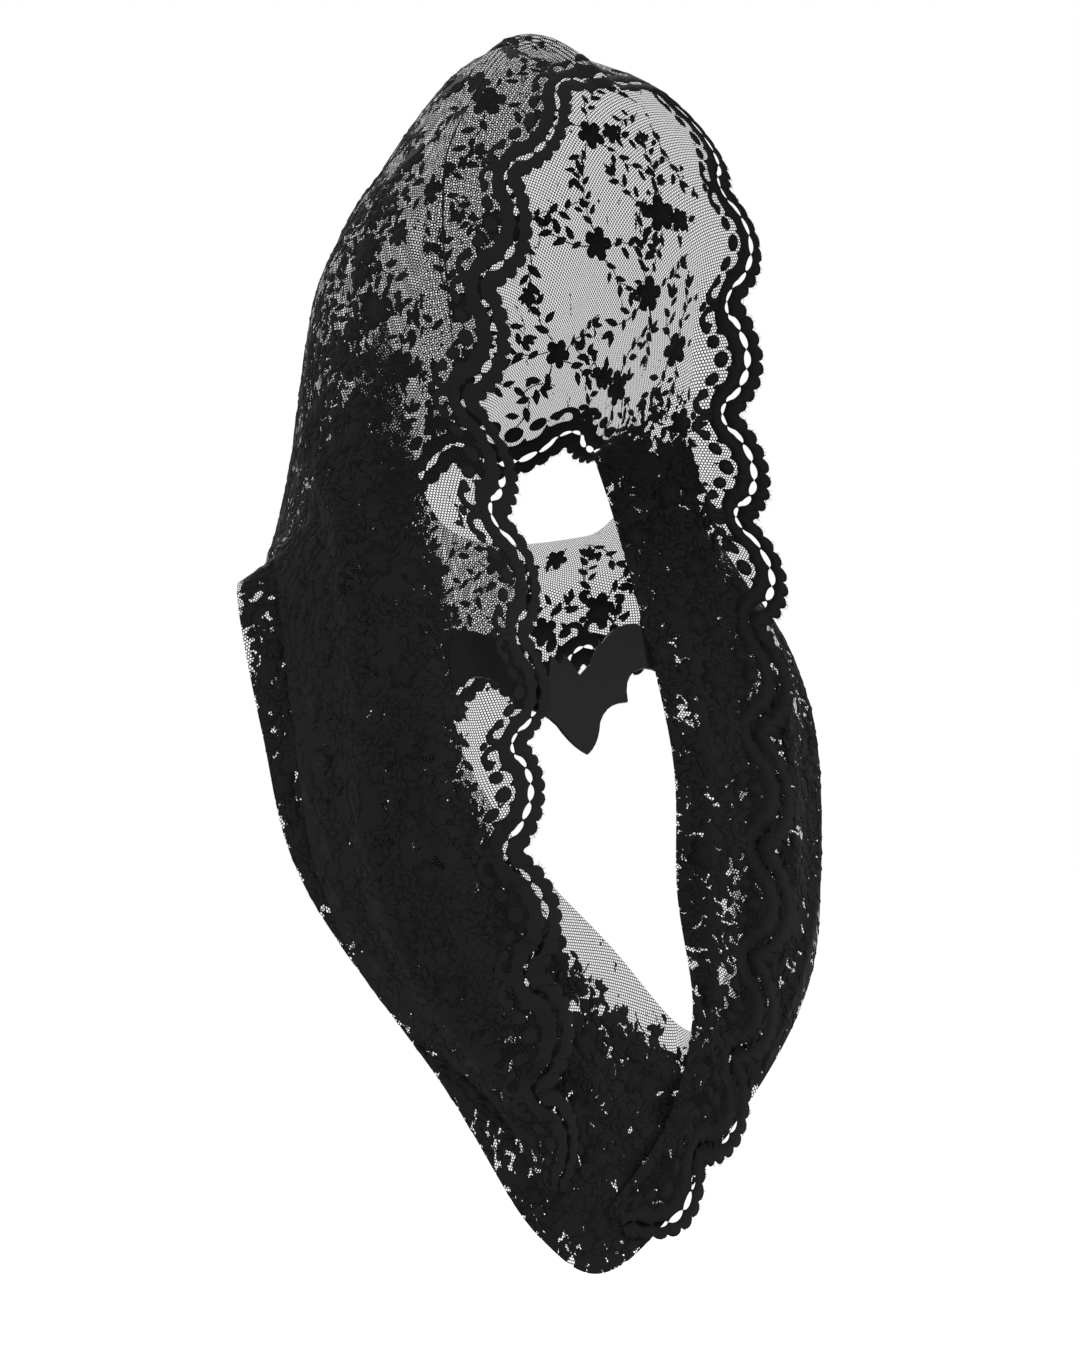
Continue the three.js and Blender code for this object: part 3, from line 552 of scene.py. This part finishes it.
def crease_work(turn):
    """The sharp crease of the net beside the near border."""
    work = FlatWork()
    along = np.linspace(CREASE[0][0], CREASE[-1][0], CREASE_STEPS)
    depth = np.interp(along, *zip(*CREASE))
    length = np.interp(along, turn.along_list, turn.edge_lengths[0])
    half = CREASE_HALF * np.sin(np.linspace(0.1, math.pi - 0.1, CREASE_STEPS)) ** 0.5
    work.band(np.c_[length, depth], half, 0.5)
    drawn = work.all_points()
    return turn.from_edge(0, drawn[:, 0], drawn[:, 1], drawn[:, 2]), work.faces


def lobed(count, inner, outer, steps):
    """An outline of this many round lobes, each drawn in some steps."""
    angle = np.arange(count * steps) * 2 * math.pi / (count * steps)
    radius = inner + (outer - inner) * np.abs(np.sin(angle * count / 2)) ** 0.7
    return np.c_[radius * np.cos(angle), radius * np.sin(angle)]


def rose():
    """A full rose of two rings of petals, 24 mm across."""
    work = FlatWork()
    work.thin_pad(lobed(5, 7.4, 12.0, 5), 0.5)
    work.thin_pad(lobed(5, 2.8, 6.0, 2), 1.0)
    return work


def bud():
    """Three pointed petals on a round base."""
    work = FlatWork()
    for angle, length in ((-0.55, 9.5), (0.0, 11), (0.55, 9.5)):
        work.pad(turned(leaf_outline(length, 5.2, 0.0), angle), 0.5)
    work.pad(ellipse(1.2, 0, 2.2, 2.0), 0.7)
    return work


def leaf():
    """One pointed leaf, 11.5 mm long."""
    work = FlatWork()
    work.thin_pad(leaf_outline(11.5, 5.6), 0.5)
    return work


def stem(length, bend):
    """A thin bent cord, with its middle at the origin."""
    work = FlatWork()
    x = np.linspace(-0.5, 0.5, 11)
    work.band(np.c_[x * length, bend * length * (x * x - 0.25)], 0.45, 0.35)
    return work


# Sprays: lengths in mm
TRIES = 14  # for each square of the roses' spacing
THINNED = 1.5  # what the spacing gains where the lace is least filled
BARE_KEPT = 0.9  # of the plain net
HEM_MARGIN = 0.6  # of the margin that is kept from the front
SECOND_ROSE = 17  # its middle from the first rose's
SPRAY_FOOT = 9  # from the rose's middle
SPRAY_LENGTH = (26, 46)
SPRAY_LABELS = ("roses", "buds", "leaves", "stems")
PLAIN_EDGE = 3  # kept clear along the cowl's front edge


class Sprays:
    """Flowers and leaves to be laid on a turn of the lace, by kind."""

    def __init__(self, turn, seed):
        self.turn = turn
        self.random = np.random.default_rng(seed)
        self.kinds = {"rose": rose(), "bud": bud(), "leaf": leaf(), "stem": stem(26, 0.5)}
        self.laid = {kind: [] for kind in self.kinds}

    def frame_at(self, u, v):
        """Along and across for a step of 1 mm each way at places on the lace."""
        turn = self.turn
        du, dv = 0.02, 0.01
        u = np.asarray(u, float)
        low_v, high_v = np.clip(v - dv, 0, 1), np.clip(v + dv, 0, 1)
        run = (turn.place(u + du, v) - turn.place(u - du, v)) / (2 * du)
        fall = (turn.place(u, high_v) - turn.place(u, low_v)) / (high_v - low_v)[..., None]
        first = run / np.linalg.norm(run, axis=-1, keepdims=True)
        normal = np.cross(run, fall)
        normal /= np.linalg.norm(normal, axis=-1, keepdims=True)
        second = np.cross(normal, first)
        a = (run * first).sum(-1)
        b = (fall * first).sum(-1)
        d = (fall * second).sum(-1)
        # [a b; 0 d] takes (along, across) to mm, so its inverse takes mm back.
        return 1 / a, -b / (a * d), 1 / d

    def step(self, u, v, x, y):
        """The place on the lace x and y mm away from a place on it."""
        ax, bx, dx = self.frame_at(np.array([u]), np.array([v]))
        return u + ax[0] * x + bx[0] * y, v + dx[0] * y

    def toward(self, u, v, angle, away):
        return self.step(u, v, away * math.cos(angle), away * math.sin(angle))

    def allowed(self, u, v, margin):
        """Whether a place keeps this margin from the borders and the plain net."""
        turn = self.turn
        if not turn.closed and not 0.02 < u < turn.span - 0.02:
            return False
        if not 0 < v < 1:
            return False
        from_front = turn.from_front(u, v)
        scale = turn.at_along(turn.border_scale, u)
        front = self.front_border * scale + BARE_KEPT * turn.at_along(turn.bare, u) + margin
        hem = self.hem_border * scale * turn.at_along(turn.lobe, u) + margin * HEM_MARGIN
        return from_front > front and turn.at_along(turn.full_width, u) - from_front > hem

    def lay(self, kind, u, v, angle, scale, margin=2.5):
        if self.allowed(u, v, margin):
            self.laid[kind].append((u, v, angle, scale))

    def spray(self, u, v, angle, length, scale):
        """A bent stem with leaves in pairs, a leaf or bud at its end."""
        bend = self.random.uniform(-0.9, 0.9)
        leaves = int(length / (6.0 * scale))
        x = y = 0.0
        heading = angle
        for k in range(leaves):
            step = length / leaves
            heading += bend / leaves
            x += step * math.cos(heading)
            y += step * math.sin(heading)
            here = self.step(u, v, x, y)
            if k % 4 == 1:
                self.lay("stem", *here, heading, scale, 2.0)
            side = 1 if k % 2 else -1
            size = scale * self.random.uniform(0.8, 1.1)
            self.lay("leaf", *here, heading + side * self.random.uniform(0.6, 1.0), size)
        here = self.step(u, v, x, y)
        end = "bud" if self.random.uniform() < 0.35 else "leaf"
        self.lay(end, *here, heading, scale)

    def scatter(self, spacing, front_border, hem_border):
        """Roses at this spacing where the lace is filled, and wider apart elsewhere."""
        self.front_border = front_border
        self.hem_border = hem_border
        turn = self.turn
        chosen = []
        steps = np.linalg.norm(np.diff(turn.grid, axis=0), axis=2).mean(axis=1)
        area = steps * turn.full_width[:-1]
        chance = np.cumsum(area) / area.sum()
        tries = int(area.sum() / (spacing * spacing) * TRIES)
        for _ in range(tries):
            i = int(np.searchsorted(chance, self.random.uniform()))
            u = turn.along_list[i]
            v = self.random.uniform(0.0, 1.0)
            if turn.from_front(u, v) < turn.bare[i] + front_border * turn.border_scale[i] - 4:
                continue
            here = turn.place(np.array([u]), np.array([v]))[0]
            apart = spacing * (1 + THINNED * (1 - turn.fill[i]))
            if chosen and np.linalg.norm(np.array(chosen) - here, axis=1).min() < apart:
                continue
            chosen.append(here)
            self.cluster(u, v)

    def cluster(self, u, v):
        """A rose, at times a small one beside it, and sprays all round."""
        turned_by = self.random.uniform(0, 2 * math.pi)
        self.lay("rose", u, v, turned_by, self.random.uniform(0.85, 1.1), 8)
        if self.random.uniform() < 0.5:
            here = self.toward(u, v, turned_by, SECOND_ROSE)
            self.lay("rose", *here, turned_by, self.random.uniform(0.55, 0.75), 6)
        arms = self.random.integers(4, 6)
        for k in range(arms):
            angle = turned_by + k * 2 * math.pi / arms + self.random.uniform(-0.3, 0.3)
            start = self.toward(u, v, angle, SPRAY_FOOT)
            length = self.random.uniform(*SPRAY_LENGTH)
            self.spray(*start, angle, length, self.random.uniform(0.75, 1.0))

    def mesh_of(self, kind):
        """Points in mm and faces of everything laid of one kind."""
        work = self.kinds[kind]
        template = work.all_points()
        u, v, angle, scale = np.array(self.laid[kind], float).T
        ax, bx, dx = self.frame_at(u, v)
        c, s = np.cos(angle), np.sin(angle)
        x = (template[:, 0] * c[:, None] - template[:, 1] * s[:, None]) * scale[:, None]
        y = (template[:, 0] * s[:, None] + template[:, 1] * c[:, None]) * scale[:, None]
        along = u[:, None] + ax[:, None] * x + bx[:, None] * y
        across = np.clip(v[:, None] + dx[:, None] * y, 0, 1)
        lift = np.broadcast_to(template[:, 2], along.shape)
        points = self.turn.place(along.ravel(), across.ravel(), lift.ravel())
        faces = []
        for k in range(len(u)):
            faces += shifted(work.faces, k * len(template))
        return points, faces


# Materials
LACE_SPECULAR = 0.12


def once(make):
    """Makes a node group or material one time, and finds it by its name after that."""

    def found(*looks):
        name = make.__name__
        return bpy.data.node_groups.get(name) or bpy.data.materials.get(name) or make(*looks)

    return found


def node_group(name, inputs, outputs):
    """A shader node group whose inputs, with their defaults, and outputs are all numbers."""
    group = bpy.data.node_groups.new(name, "ShaderNodeTree")
    for label, value in inputs.items():
        socket = group.interface.new_socket(label, in_out="INPUT", socket_type="NodeSocketFloat")
        socket.default_value = value
    for label in outputs:
        group.interface.new_socket(label, in_out="OUTPUT", socket_type="NodeSocketFloat")
    return group, group.nodes.new("NodeGroupInput"), group.nodes.new("NodeGroupOutput")


def set_inputs(node, **values):
    for name, value in values.items():
        node.inputs[name.replace("_", " ")].default_value = value
    return node


def math_node(tree, kind, *values):
    node = tree.nodes.new("ShaderNodeMath")
    node.operation = kind
    for socket, value in zip(node.inputs, values):
        if isinstance(value, (int, float)):
            socket.default_value = value
        else:
            tree.links.new(value, socket)
    return node.outputs[0]


def noise(tree, vector, dimensions, **values):
    node = set_inputs(tree.nodes.new("ShaderNodeTexNoise"), **values)
    node.noise_dimensions = dimensions
    tree.links.new(vector, node.inputs["Vector"])
    return node.outputs["Fac"], node.outputs["Color"]


def lace_uv(tree):
    """The UV map that runs in mm along and across the lace."""
    node = tree.nodes.new("ShaderNodeUVMap")
    node.uv_map = "lace_mm"
    return node.outputs["UV"]


@once
def thread_grain():
    """Fine thread grain: a mask that varies over worked lace, and its height."""
    group, start, end = node_group("thread_grain", {"Scale": 900.0}, ("Mask", "Height"))
    place = group.nodes.new("ShaderNodeTexCoord").outputs["Object"]
    fine = set_inputs(group.nodes.new("ShaderNodeTexNoise"), Detail=3.0, Roughness=0.65)
    group.links.new(place, fine.inputs["Vector"])
    group.links.new(start.outputs["Scale"], fine.inputs["Scale"])
    coarse, _ = noise(group, place, "3D", Scale=55.0, Detail=2.0)
    half = math_node(group, "MULTIPLY", coarse, 0.5)
    mask = math_node(group, "MULTIPLY_ADD", fine.outputs["Fac"], 0.5, half)
    group.links.new(mask, end.inputs["Mask"])
    group.links.new(fine.outputs["Fac"], end.inputs["Height"])
    return group


@once
def hexagon_net():
    """Six-sided net drawn on a UV map in mm: 1 on a thread and 0 in a hole."""
    group, start, end = node_group("hexagon_net", {"Pitch": 2.2, "Thread": 0.7}, ("Thread",))
    calc = partial(math_node, group)
    parts = group.nodes.new("ShaderNodeSeparateXYZ")
    group.links.new(lace_uv(group), parts.inputs[0])
    root3 = math.sqrt(3)
    nearest = None

    def from_centre(value, shift, period):
        """Distance from the nearest of the centres that lie one period apart."""
        value = calc("DIVIDE", calc("SUBTRACT", value, shift), period)
        value = calc("SUBTRACT", value, calc("ROUND", value))
        return calc("ABSOLUTE", calc("MULTIPLY", value, period))

    x = calc("DIVIDE", parts.outputs["Y"], start.outputs["Pitch"])
    y = calc("DIVIDE", parts.outputs["X"], start.outputs["Pitch"])
    for shift_x, shift_y in ((0.0, 0.0), (0.5, root3 / 2)):
        a = from_centre(x, shift_x, 1.0)
        b = from_centre(y, shift_y, root3)
        slant = calc("MULTIPLY_ADD", a, 0.5, calc("MULTIPLY", b, root3 / 2))
        away = calc("MAXIMUM", a, slant)
        nearest = away if nearest is None else calc("MINIMUM", nearest, away)
    # A cell reaches 0.5 from its centre, and the thread runs on its rim.
    inset = calc("MULTIPLY", calc("SUBTRACT", 0.5, nearest), start.outputs["Pitch"])
    half = calc("MULTIPLY", start.outputs["Thread"], 0.5)
    group.links.new(calc("LESS_THAN", inset, half), end.inputs["Thread"])
    return group


@once
def close_work():
    """Close work between the flowers: 1 on the work, by how far the lace is filled."""
    group, start, end = node_group("close_work", {"Fill": 1.0}, ("Work",))
    uv = lace_uv(group)
    _, stray = noise(group, uv, "2D", Scale=0.16)
    bend = group.nodes.new("ShaderNodeVectorMath")
    bend.operation = "MULTIPLY_ADD"
    bend.inputs[1].default_value = (7.0, 7.0, 0.0)
    group.links.new(stray, bend.inputs[0])
    group.links.new(uv, bend.inputs[2])
    petals, _ = noise(group, bend.outputs["Vector"], "2D", Scale=0.13, Detail=1.5, Distortion=0.8)
    patches, _ = noise(group, uv, "2D", Scale=0.03, Detail=1.0)
    # The work closes up as the lace fills, and opens in broad patches.
    calc = partial(math_node, group)
    open_net = calc("MULTIPLY_ADD", start.outputs["Fill"], -0.42, 0.76)
    open_net = calc("ADD", open_net, calc("MULTIPLY_ADD", patches, 0.3, -0.15))
    group.links.new(calc("GREATER_THAN", petals, open_net), end.inputs["Work"])
    return group


def new_material(name, colour, roughness, specular):
    material = bpy.data.materials.new(name)
    material.use_nodes = True
    shader = set_inputs(material.node_tree.nodes["Principled BSDF"], Base_Color=(*colour, 1),
                        Roughness=roughness, Specular_IOR_Level=specular)
    return material, material.node_tree, shader


def add_group(tree, group, **values):
    node = tree.nodes.new("ShaderNodeGroup")
    node.node_tree = group
    return set_inputs(node, **values)


def add_bump(tree, shader, height, strength, distance):
    bump = set_inputs(tree.nodes.new("ShaderNodeBump"), Strength=strength, Distance=distance)
    tree.links.new(height, bump.inputs["Height"])
    tree.links.new(bump.outputs["Normal"], shader.inputs["Normal"])


@once
def worked_lace(looks):
    """Dense black work: borders, leaves and flowers."""
    colour = looks.lace_colour
    material, tree, shader = new_material(
        "worked_lace", colour, looks.lace_roughness, LACE_SPECULAR)
    grain = add_group(tree, thread_grain(), Scale=900.0)
    shade = tree.nodes.new("ShaderNodeMix")
    shade.data_type = "RGBA"
    set_inputs(shade, A=(*[c * 0.55 for c in colour], 1), B=(*[c * 1.7 for c in colour], 1))
    tree.links.new(grain.outputs["Mask"], shade.inputs["Factor"])
    tree.links.new(shade.outputs["Result"], shader.inputs["Base Color"])
    add_bump(tree, shader, grain.outputs["Height"], 0.5, 0.0004)
    return material


@once
def net_lace(looks):
    """The net ground, see-through between its threads."""
    material, tree, shader = new_material(
        "net_lace", looks.lace_colour, looks.lace_roughness, LACE_SPECULAR)
    net = add_group(tree, hexagon_net(), Pitch=looks.net_pitch, Thread=looks.net_thread)
    close = add_group(tree, close_work())
    fill = tree.nodes.new("ShaderNodeAttribute")
    fill.attribute_name = "fill"
    tree.links.new(fill.outputs["Fac"], close.inputs["Fill"])
    covered = math_node(tree, "MAXIMUM", net.outputs["Thread"], close.outputs["Work"])
    tree.links.new(covered, shader.inputs["Alpha"])
    return material


@once
def clasp_black(looks):
    """Smooth matte black plate."""
    material, tree, shader = new_material("clasp_black", looks.clasp_colour, 0.42, 0.05)
    grain = add_group(tree, thread_grain(), Scale=420.0)
    rough = math_node(tree, "MULTIPLY_ADD", grain.outputs["Mask"], 0.18, 0.34)
    tree.links.new(rough, shader.inputs["Roughness"])
    add_bump(tree, shader, grain.outputs["Height"], 0.12, 0.0002)
    return material


# Properties


class VeilSizes(bpy.types.PropertyGroup):
    drop: FloatProperty(
        name="Drop", description="Crown of the head to the lowest lace",
        default=0.76, min=0.2, unit="LENGTH")
    half_span: FloatProperty(
        name="Half span", description="Middle of the neck to a shoulder's side",
        default=0.2, min=0.05, unit="LENGTH")
    reach: FloatProperty(
        name="Reach", description="Line of the shoulders to the lace in front",
        default=0.15, min=0.05, unit="LENGTH")
    scallop_pitch: FloatProperty(
        name="Scallop pitch", description="Length of one scallop",
        default=0.072, min=0.02, unit="LENGTH")
    scallop_depth: FloatProperty(
        name="Scallop depth", description="Tip of a scallop to its cusps",
        default=0.019, min=0.0, unit="LENGTH")
    border_depth: FloatProperty(
        name="Border depth", description="Tips to the inland side of the dots",
        default=0.04, min=0.01, unit="LENGTH")
    fold_height: FloatProperty(
        name="Fold height", description="Rise of the tallest fold",
        default=0.01, min=0.0, unit="LENGTH")
    rose_spacing: FloatProperty(
        name="Rose spacing", description="Least distance between roses",
        default=0.029, min=0.02, unit="LENGTH")
    seed: IntProperty(name="Seed", description="Changes where the sprays lie", default=7)


class VeilLooks(bpy.types.PropertyGroup):
    lace_colour: FloatVectorProperty(
        name="Lace", description="Colour of the lace",
        default=(0.0035, 0.0035, 0.0039), subtype="COLOR", min=0, max=1)
    clasp_colour: FloatVectorProperty(
        name="Clasp", description="Colour of the clasp",
        default=(0.005, 0.005, 0.006), subtype="COLOR", min=0, max=1)
    lace_roughness: FloatProperty(
        name="Roughness", description="How dull the lace is",
        default=0.82, min=0, max=1, subtype="FACTOR")
    net_pitch: FloatProperty(
        name="Net pitch", description="Width of one cell of the net in mm", default=1.9, min=0.5)
    net_thread: FloatProperty(
        name="Net thread", description="Breadth of the net's thread in mm", default=0.6, min=0.05)


# Camera and stage: lengths in m
CAMERA_AZIMUTH = math.radians(-33)
CAMERA_LENS = 104.17  # mm
CAMERA_ASIDE = -0.0109
CAMERA_DISTANCE = 2.5
CAMERA_HEIGHT = -0.3936
FLOOR_HALF = 30
FLOOR_HEIGHT = -1.25
LIGHT_AIM = (0, 0, -0.4)
# Name, place, size and power in W
LIGHTS = [("key", (-2.2, -2.6, 1.4), 1.8, 70), ("fill", (2.6, -2.0, 0.6), 2.0, 35),
          ("rim", (1.2, 2.6, 1.6), 1.6, 50)]


# Operators


class VEIL_OT_camera(bpy.types.Operator):
    """Set the camera at the photograph's angle"""

    bl_idname = "veil.camera"
    bl_label = "Set camera"

    def execute(self, context):
        cosine, sine = math.cos(CAMERA_AZIMUTH), math.sin(CAMERA_AZIMUTH)
        right = Vector((cosine, sine, 0))
        back = Vector((sine, -cosine, 0))
        data = bpy.data.cameras.new("camera")
        data.lens = CAMERA_LENS
        data.sensor_width = 36
        data.clip_end = 50
        camera = add_object(context, "camera", data)
        camera.location = (right * CAMERA_ASIDE + back * CAMERA_DISTANCE
                           + Vector((0, 0, CAMERA_HEIGHT)))
        camera.rotation_euler = (math.radians(90), 0, CAMERA_AZIMUTH)
        context.scene.camera = camera
        return {"FINISHED"}


class VEIL_OT_stage(bpy.types.Operator):
    """Lay the pale floor and set the soft studio lights"""

    bl_idname = "veil.stage"
    bl_label = "Set stage"

    def execute(self, context):
        shape = bmesh.new()
        bmesh.ops.create_grid(shape, x_segments=1, y_segments=1, size=FLOOR_HALF)
        bmesh.ops.translate(shape, verts=shape.verts, vec=(0, 0, FLOOR_HEIGHT))
        mesh = bpy.data.meshes.new("floor")
        shape.to_mesh(mesh)
        shape.free()
        mesh.materials.append(new_material("pale_floor", (1.0, 1.0, 1.0), 1.0, 0.0)[0])
        floor = add_object(context, "floor", mesh)
        world = bpy.data.worlds.new("studio")
        world.use_nodes = True
        set_inputs(world.node_tree.nodes["Background"], Color=(1, 1, 1, 1), Strength=1.0)
        context.scene.world = world
        for name, place, size, power in LIGHTS:
            data = bpy.data.lights.new(name, "AREA")
            data.shape = "SQUARE"
            data.size = size
            data.energy = power
            lamp = add_object(context, name, data)
            lamp.location = place
            aim = Vector(LIGHT_AIM) - Vector(place)
            lamp.rotation_euler = aim.to_track_quat("-Z", "Y").to_euler()
        context.scene.view_settings.view_transform = "Standard"
        return {"FINISHED"}


# Net: lengths in mm
NET_COLUMN = 2.6
NET_ROWS = 72
CLOSE_FROM = 0.75  # fill at which close work begins
CLOSE_AT_HEM = 0.75  # of the close work, where the net meets the hem's border
FRONT_FADE = 14
HEM_FADE = 10


def ground_mesh(turn, sizes, front_scalloped):
    """The net of one turn, cut to its edges: points, faces, corners' UVs in mm, and fill."""
    depth = sizes.scallop_depth / MM
    border = sizes.border_depth / MM
    columns = round(turn.mean_length[-1] / NET_COLUMN)
    count = columns if turn.closed else columns + 1
    along = np.linspace(0, turn.span, columns + 1)[:count]
    width = turn.at_along(turn.full_width, along)
    scale = turn.at_along(turn.border_scale, along)
    cuts = []
    for edge in (0, 1):
        pitch, start = turn.scallops(edge, sizes.scallop_pitch / MM)
        length = np.interp(along, turn.along_list, turn.edge_lengths[edge])
        place = np.mod(length - start, pitch)
        cuts.append(scale * parallel(place, NET_START, pitch, depth))
    lobe = turn.at_along(turn.lobe, along)
    front = cuts[0] if front_scalloped else np.zeros(len(along))
    hem = cuts[1] * (lobe >= 0.5)
    share = np.linspace(0, 1, NET_ROWS + 1)
    distance = (front + (width - hem - front) * share[:, None]).T
    u = np.repeat(along[:, None], NET_ROWS + 1, axis=1)
    v = turn.across_at(u, distance)
    points = turn.place(u.ravel(), v.ravel())
    bare = turn.at_along(turn.bare, along) + (border * scale if front_scalloped else 0)
    from_front = (distance - bare[:, None]) / FRONT_FADE
    inland = width[:, None] - distance - (border * scale * lobe)[:, None]
    from_hem = CLOSE_AT_HEM + inland / HEM_FADE
    close = np.clip((turn.at_along(turn.fill, along) - CLOSE_FROM) / (1 - CLOSE_FROM), 0, 1)
    fill = close[:, None] * np.clip(from_front, 0, 1) * np.clip(from_hem, 0, 1)
    # The last column of a closed turn ends at its full length and not at the first one's 0.
    length = np.interp(along, turn.along_list, turn.mean_length)
    length = np.append(length, turn.mean_length[-1])
    row = NET_ROWS + 1
    faces, uv = [], []
    for i in range(columns):
        k = (i + 1) % count
        for j in range(NET_ROWS):
            faces.append([i * row + j, k * row + j, k * row + j + 1, i * row + j + 1])
            uv += [(length[i], distance[i, j]), (length[i + 1], distance[k, j]),
                   (length[i + 1], distance[k, j + 1]), (length[i], distance[i, j + 1])]
    return points, faces, np.array(uv), fill.ravel()


def drawn_turns(context):
    """The sizes, the looks and the two turns that they give."""
    sizes, looks = context.scene.veil_sizes, context.scene.veil_looks
    return sizes, looks, *turns(sizes)


class VEIL_OT_ground(bpy.types.Operator):
    """Lay the net ground of both turns"""

    bl_idname = "veil.ground"
    bl_label = "Lay net"

    def execute(self, context):
        sizes, looks, hood, cowl = drawn_turns(context)
        for name, node, turn, scalloped in (
                ("hood_ground", "hood_lace", hood, True),
                ("cowl_ground", "cowl_lace", cowl, False)):
            points, faces, uv, fill = ground_mesh(turn, sizes, scalloped)
            piece = new_piece(name, points, faces, net_lace(looks))
            layer = piece.data.uv_layers.new(name="lace_mm")
            layer.data.foreach_set("uv", uv.ravel())
            piece.data.attributes.new("fill", "FLOAT", "POINT").data.foreach_set("value", fill)
            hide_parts(node)
        return {"FINISHED"}


class VEIL_OT_borders(bpy.types.Operator):
    """Work the scalloped borders with their cords, dots and curls"""

    bl_idname = "veil.borders"
    bl_label = "Work borders"

    def execute(self, context):
        sizes, looks, hood, cowl = drawn_turns(context)
        random = np.random.default_rng(sizes.seed)
        for name, turn, edge in (("hood_front_border", hood, 0), ("hood_hem_border", hood, 1),
                                 ("cowl_hem_border", cowl, 1)):
            points, faces = edge_work(turn, edge, sizes, random)
            new_piece(name, points, faces, worked_lace(looks))
        points, faces = crease_work(hood)
        new_piece("hood_crease", points, faces, worked_lace(looks))
        return {"FINISHED"}


class VEIL_OT_sprays(bpy.types.Operator):
    """Work the roses, buds and leafy sprays over the net"""

    bl_idname = "veil.sprays"
    bl_label = "Work sprays"

    def execute(self, context):
        sizes, looks, hood, cowl = drawn_turns(context)
        border = sizes.border_depth / MM
        for name, turn, front, seed in (("hood", hood, border, 0), ("cowl", cowl, PLAIN_EDGE, 1)):
            sprays = Sprays(turn, sizes.seed + seed)
            sprays.scatter(sizes.rose_spacing / MM, front, border)
            for kind, label in zip(sprays.kinds, SPRAY_LABELS):
                points, faces = sprays.mesh_of(kind)
                new_piece(f"{name}_{label}", points, faces, worked_lace(looks))
        return {"FINISHED"}


class VEIL_OT_clasp(bpy.types.Operator):
    """Finish the bat clasp"""

    bl_idname = "veil.clasp"
    bl_label = "Finish clasp"

    def execute(self, context):
        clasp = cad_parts["bat_clasp"]
        clasp.data.materials.clear()
        clasp.data.materials.append(clasp_black(context.scene.veil_looks))
        return {"FINISHED"}


class VEIL_OT_cloth(bpy.types.Operator):
    """Does nothing: no cloth is given to the pieces"""

    bl_idname = "veil.cloth"
    bl_label = "Declare cloth"

    def execute(self, context):
        return {"FINISHED"}


class VEIL_PT_panel(bpy.types.Panel):
    bl_label = "Lace hood veil"
    bl_idname = "VEIL_PT_panel"
    bl_space_type = "VIEW_3D"
    bl_region_type = "UI"
    bl_category = "Lace veil"

    def draw(self, context):
        layout = self.layout
        for group in (context.scene.veil_sizes, context.scene.veil_looks):
            box = layout.box()
            for key in group.__annotations__:
                box.prop(group, key)
        for operator in OPERATORS:
            layout.operator(operator.bl_idname)


OPERATORS = (VEIL_OT_camera, VEIL_OT_ground, VEIL_OT_borders, VEIL_OT_sprays, VEIL_OT_clasp,
             VEIL_OT_cloth, VEIL_OT_stage)
CLASSES = (VeilSizes, VeilLooks, *OPERATORS, VEIL_PT_panel)


def register():
    for cls in CLASSES:
        bpy.utils.register_class(cls)
    bpy.types.Scene.veil_sizes = PointerProperty(type=VeilSizes)
    bpy.types.Scene.veil_looks = PointerProperty(type=VeilLooks)


def unregister():
    del bpy.types.Scene.veil_looks
    del bpy.types.Scene.veil_sizes
    for cls in reversed(CLASSES):
        bpy.utils.unregister_class(cls)


def main():
    register()
    bpy.ops.veil.camera()
    bpy.ops.veil.ground()
    bpy.ops.veil.borders()
    bpy.ops.veil.sprays()
    bpy.ops.veil.clasp()
    bpy.ops.veil.cloth()
    bpy.ops.veil.stage()
    bpy.context.view_layer.update()


if __name__ == "__main__":
    main()
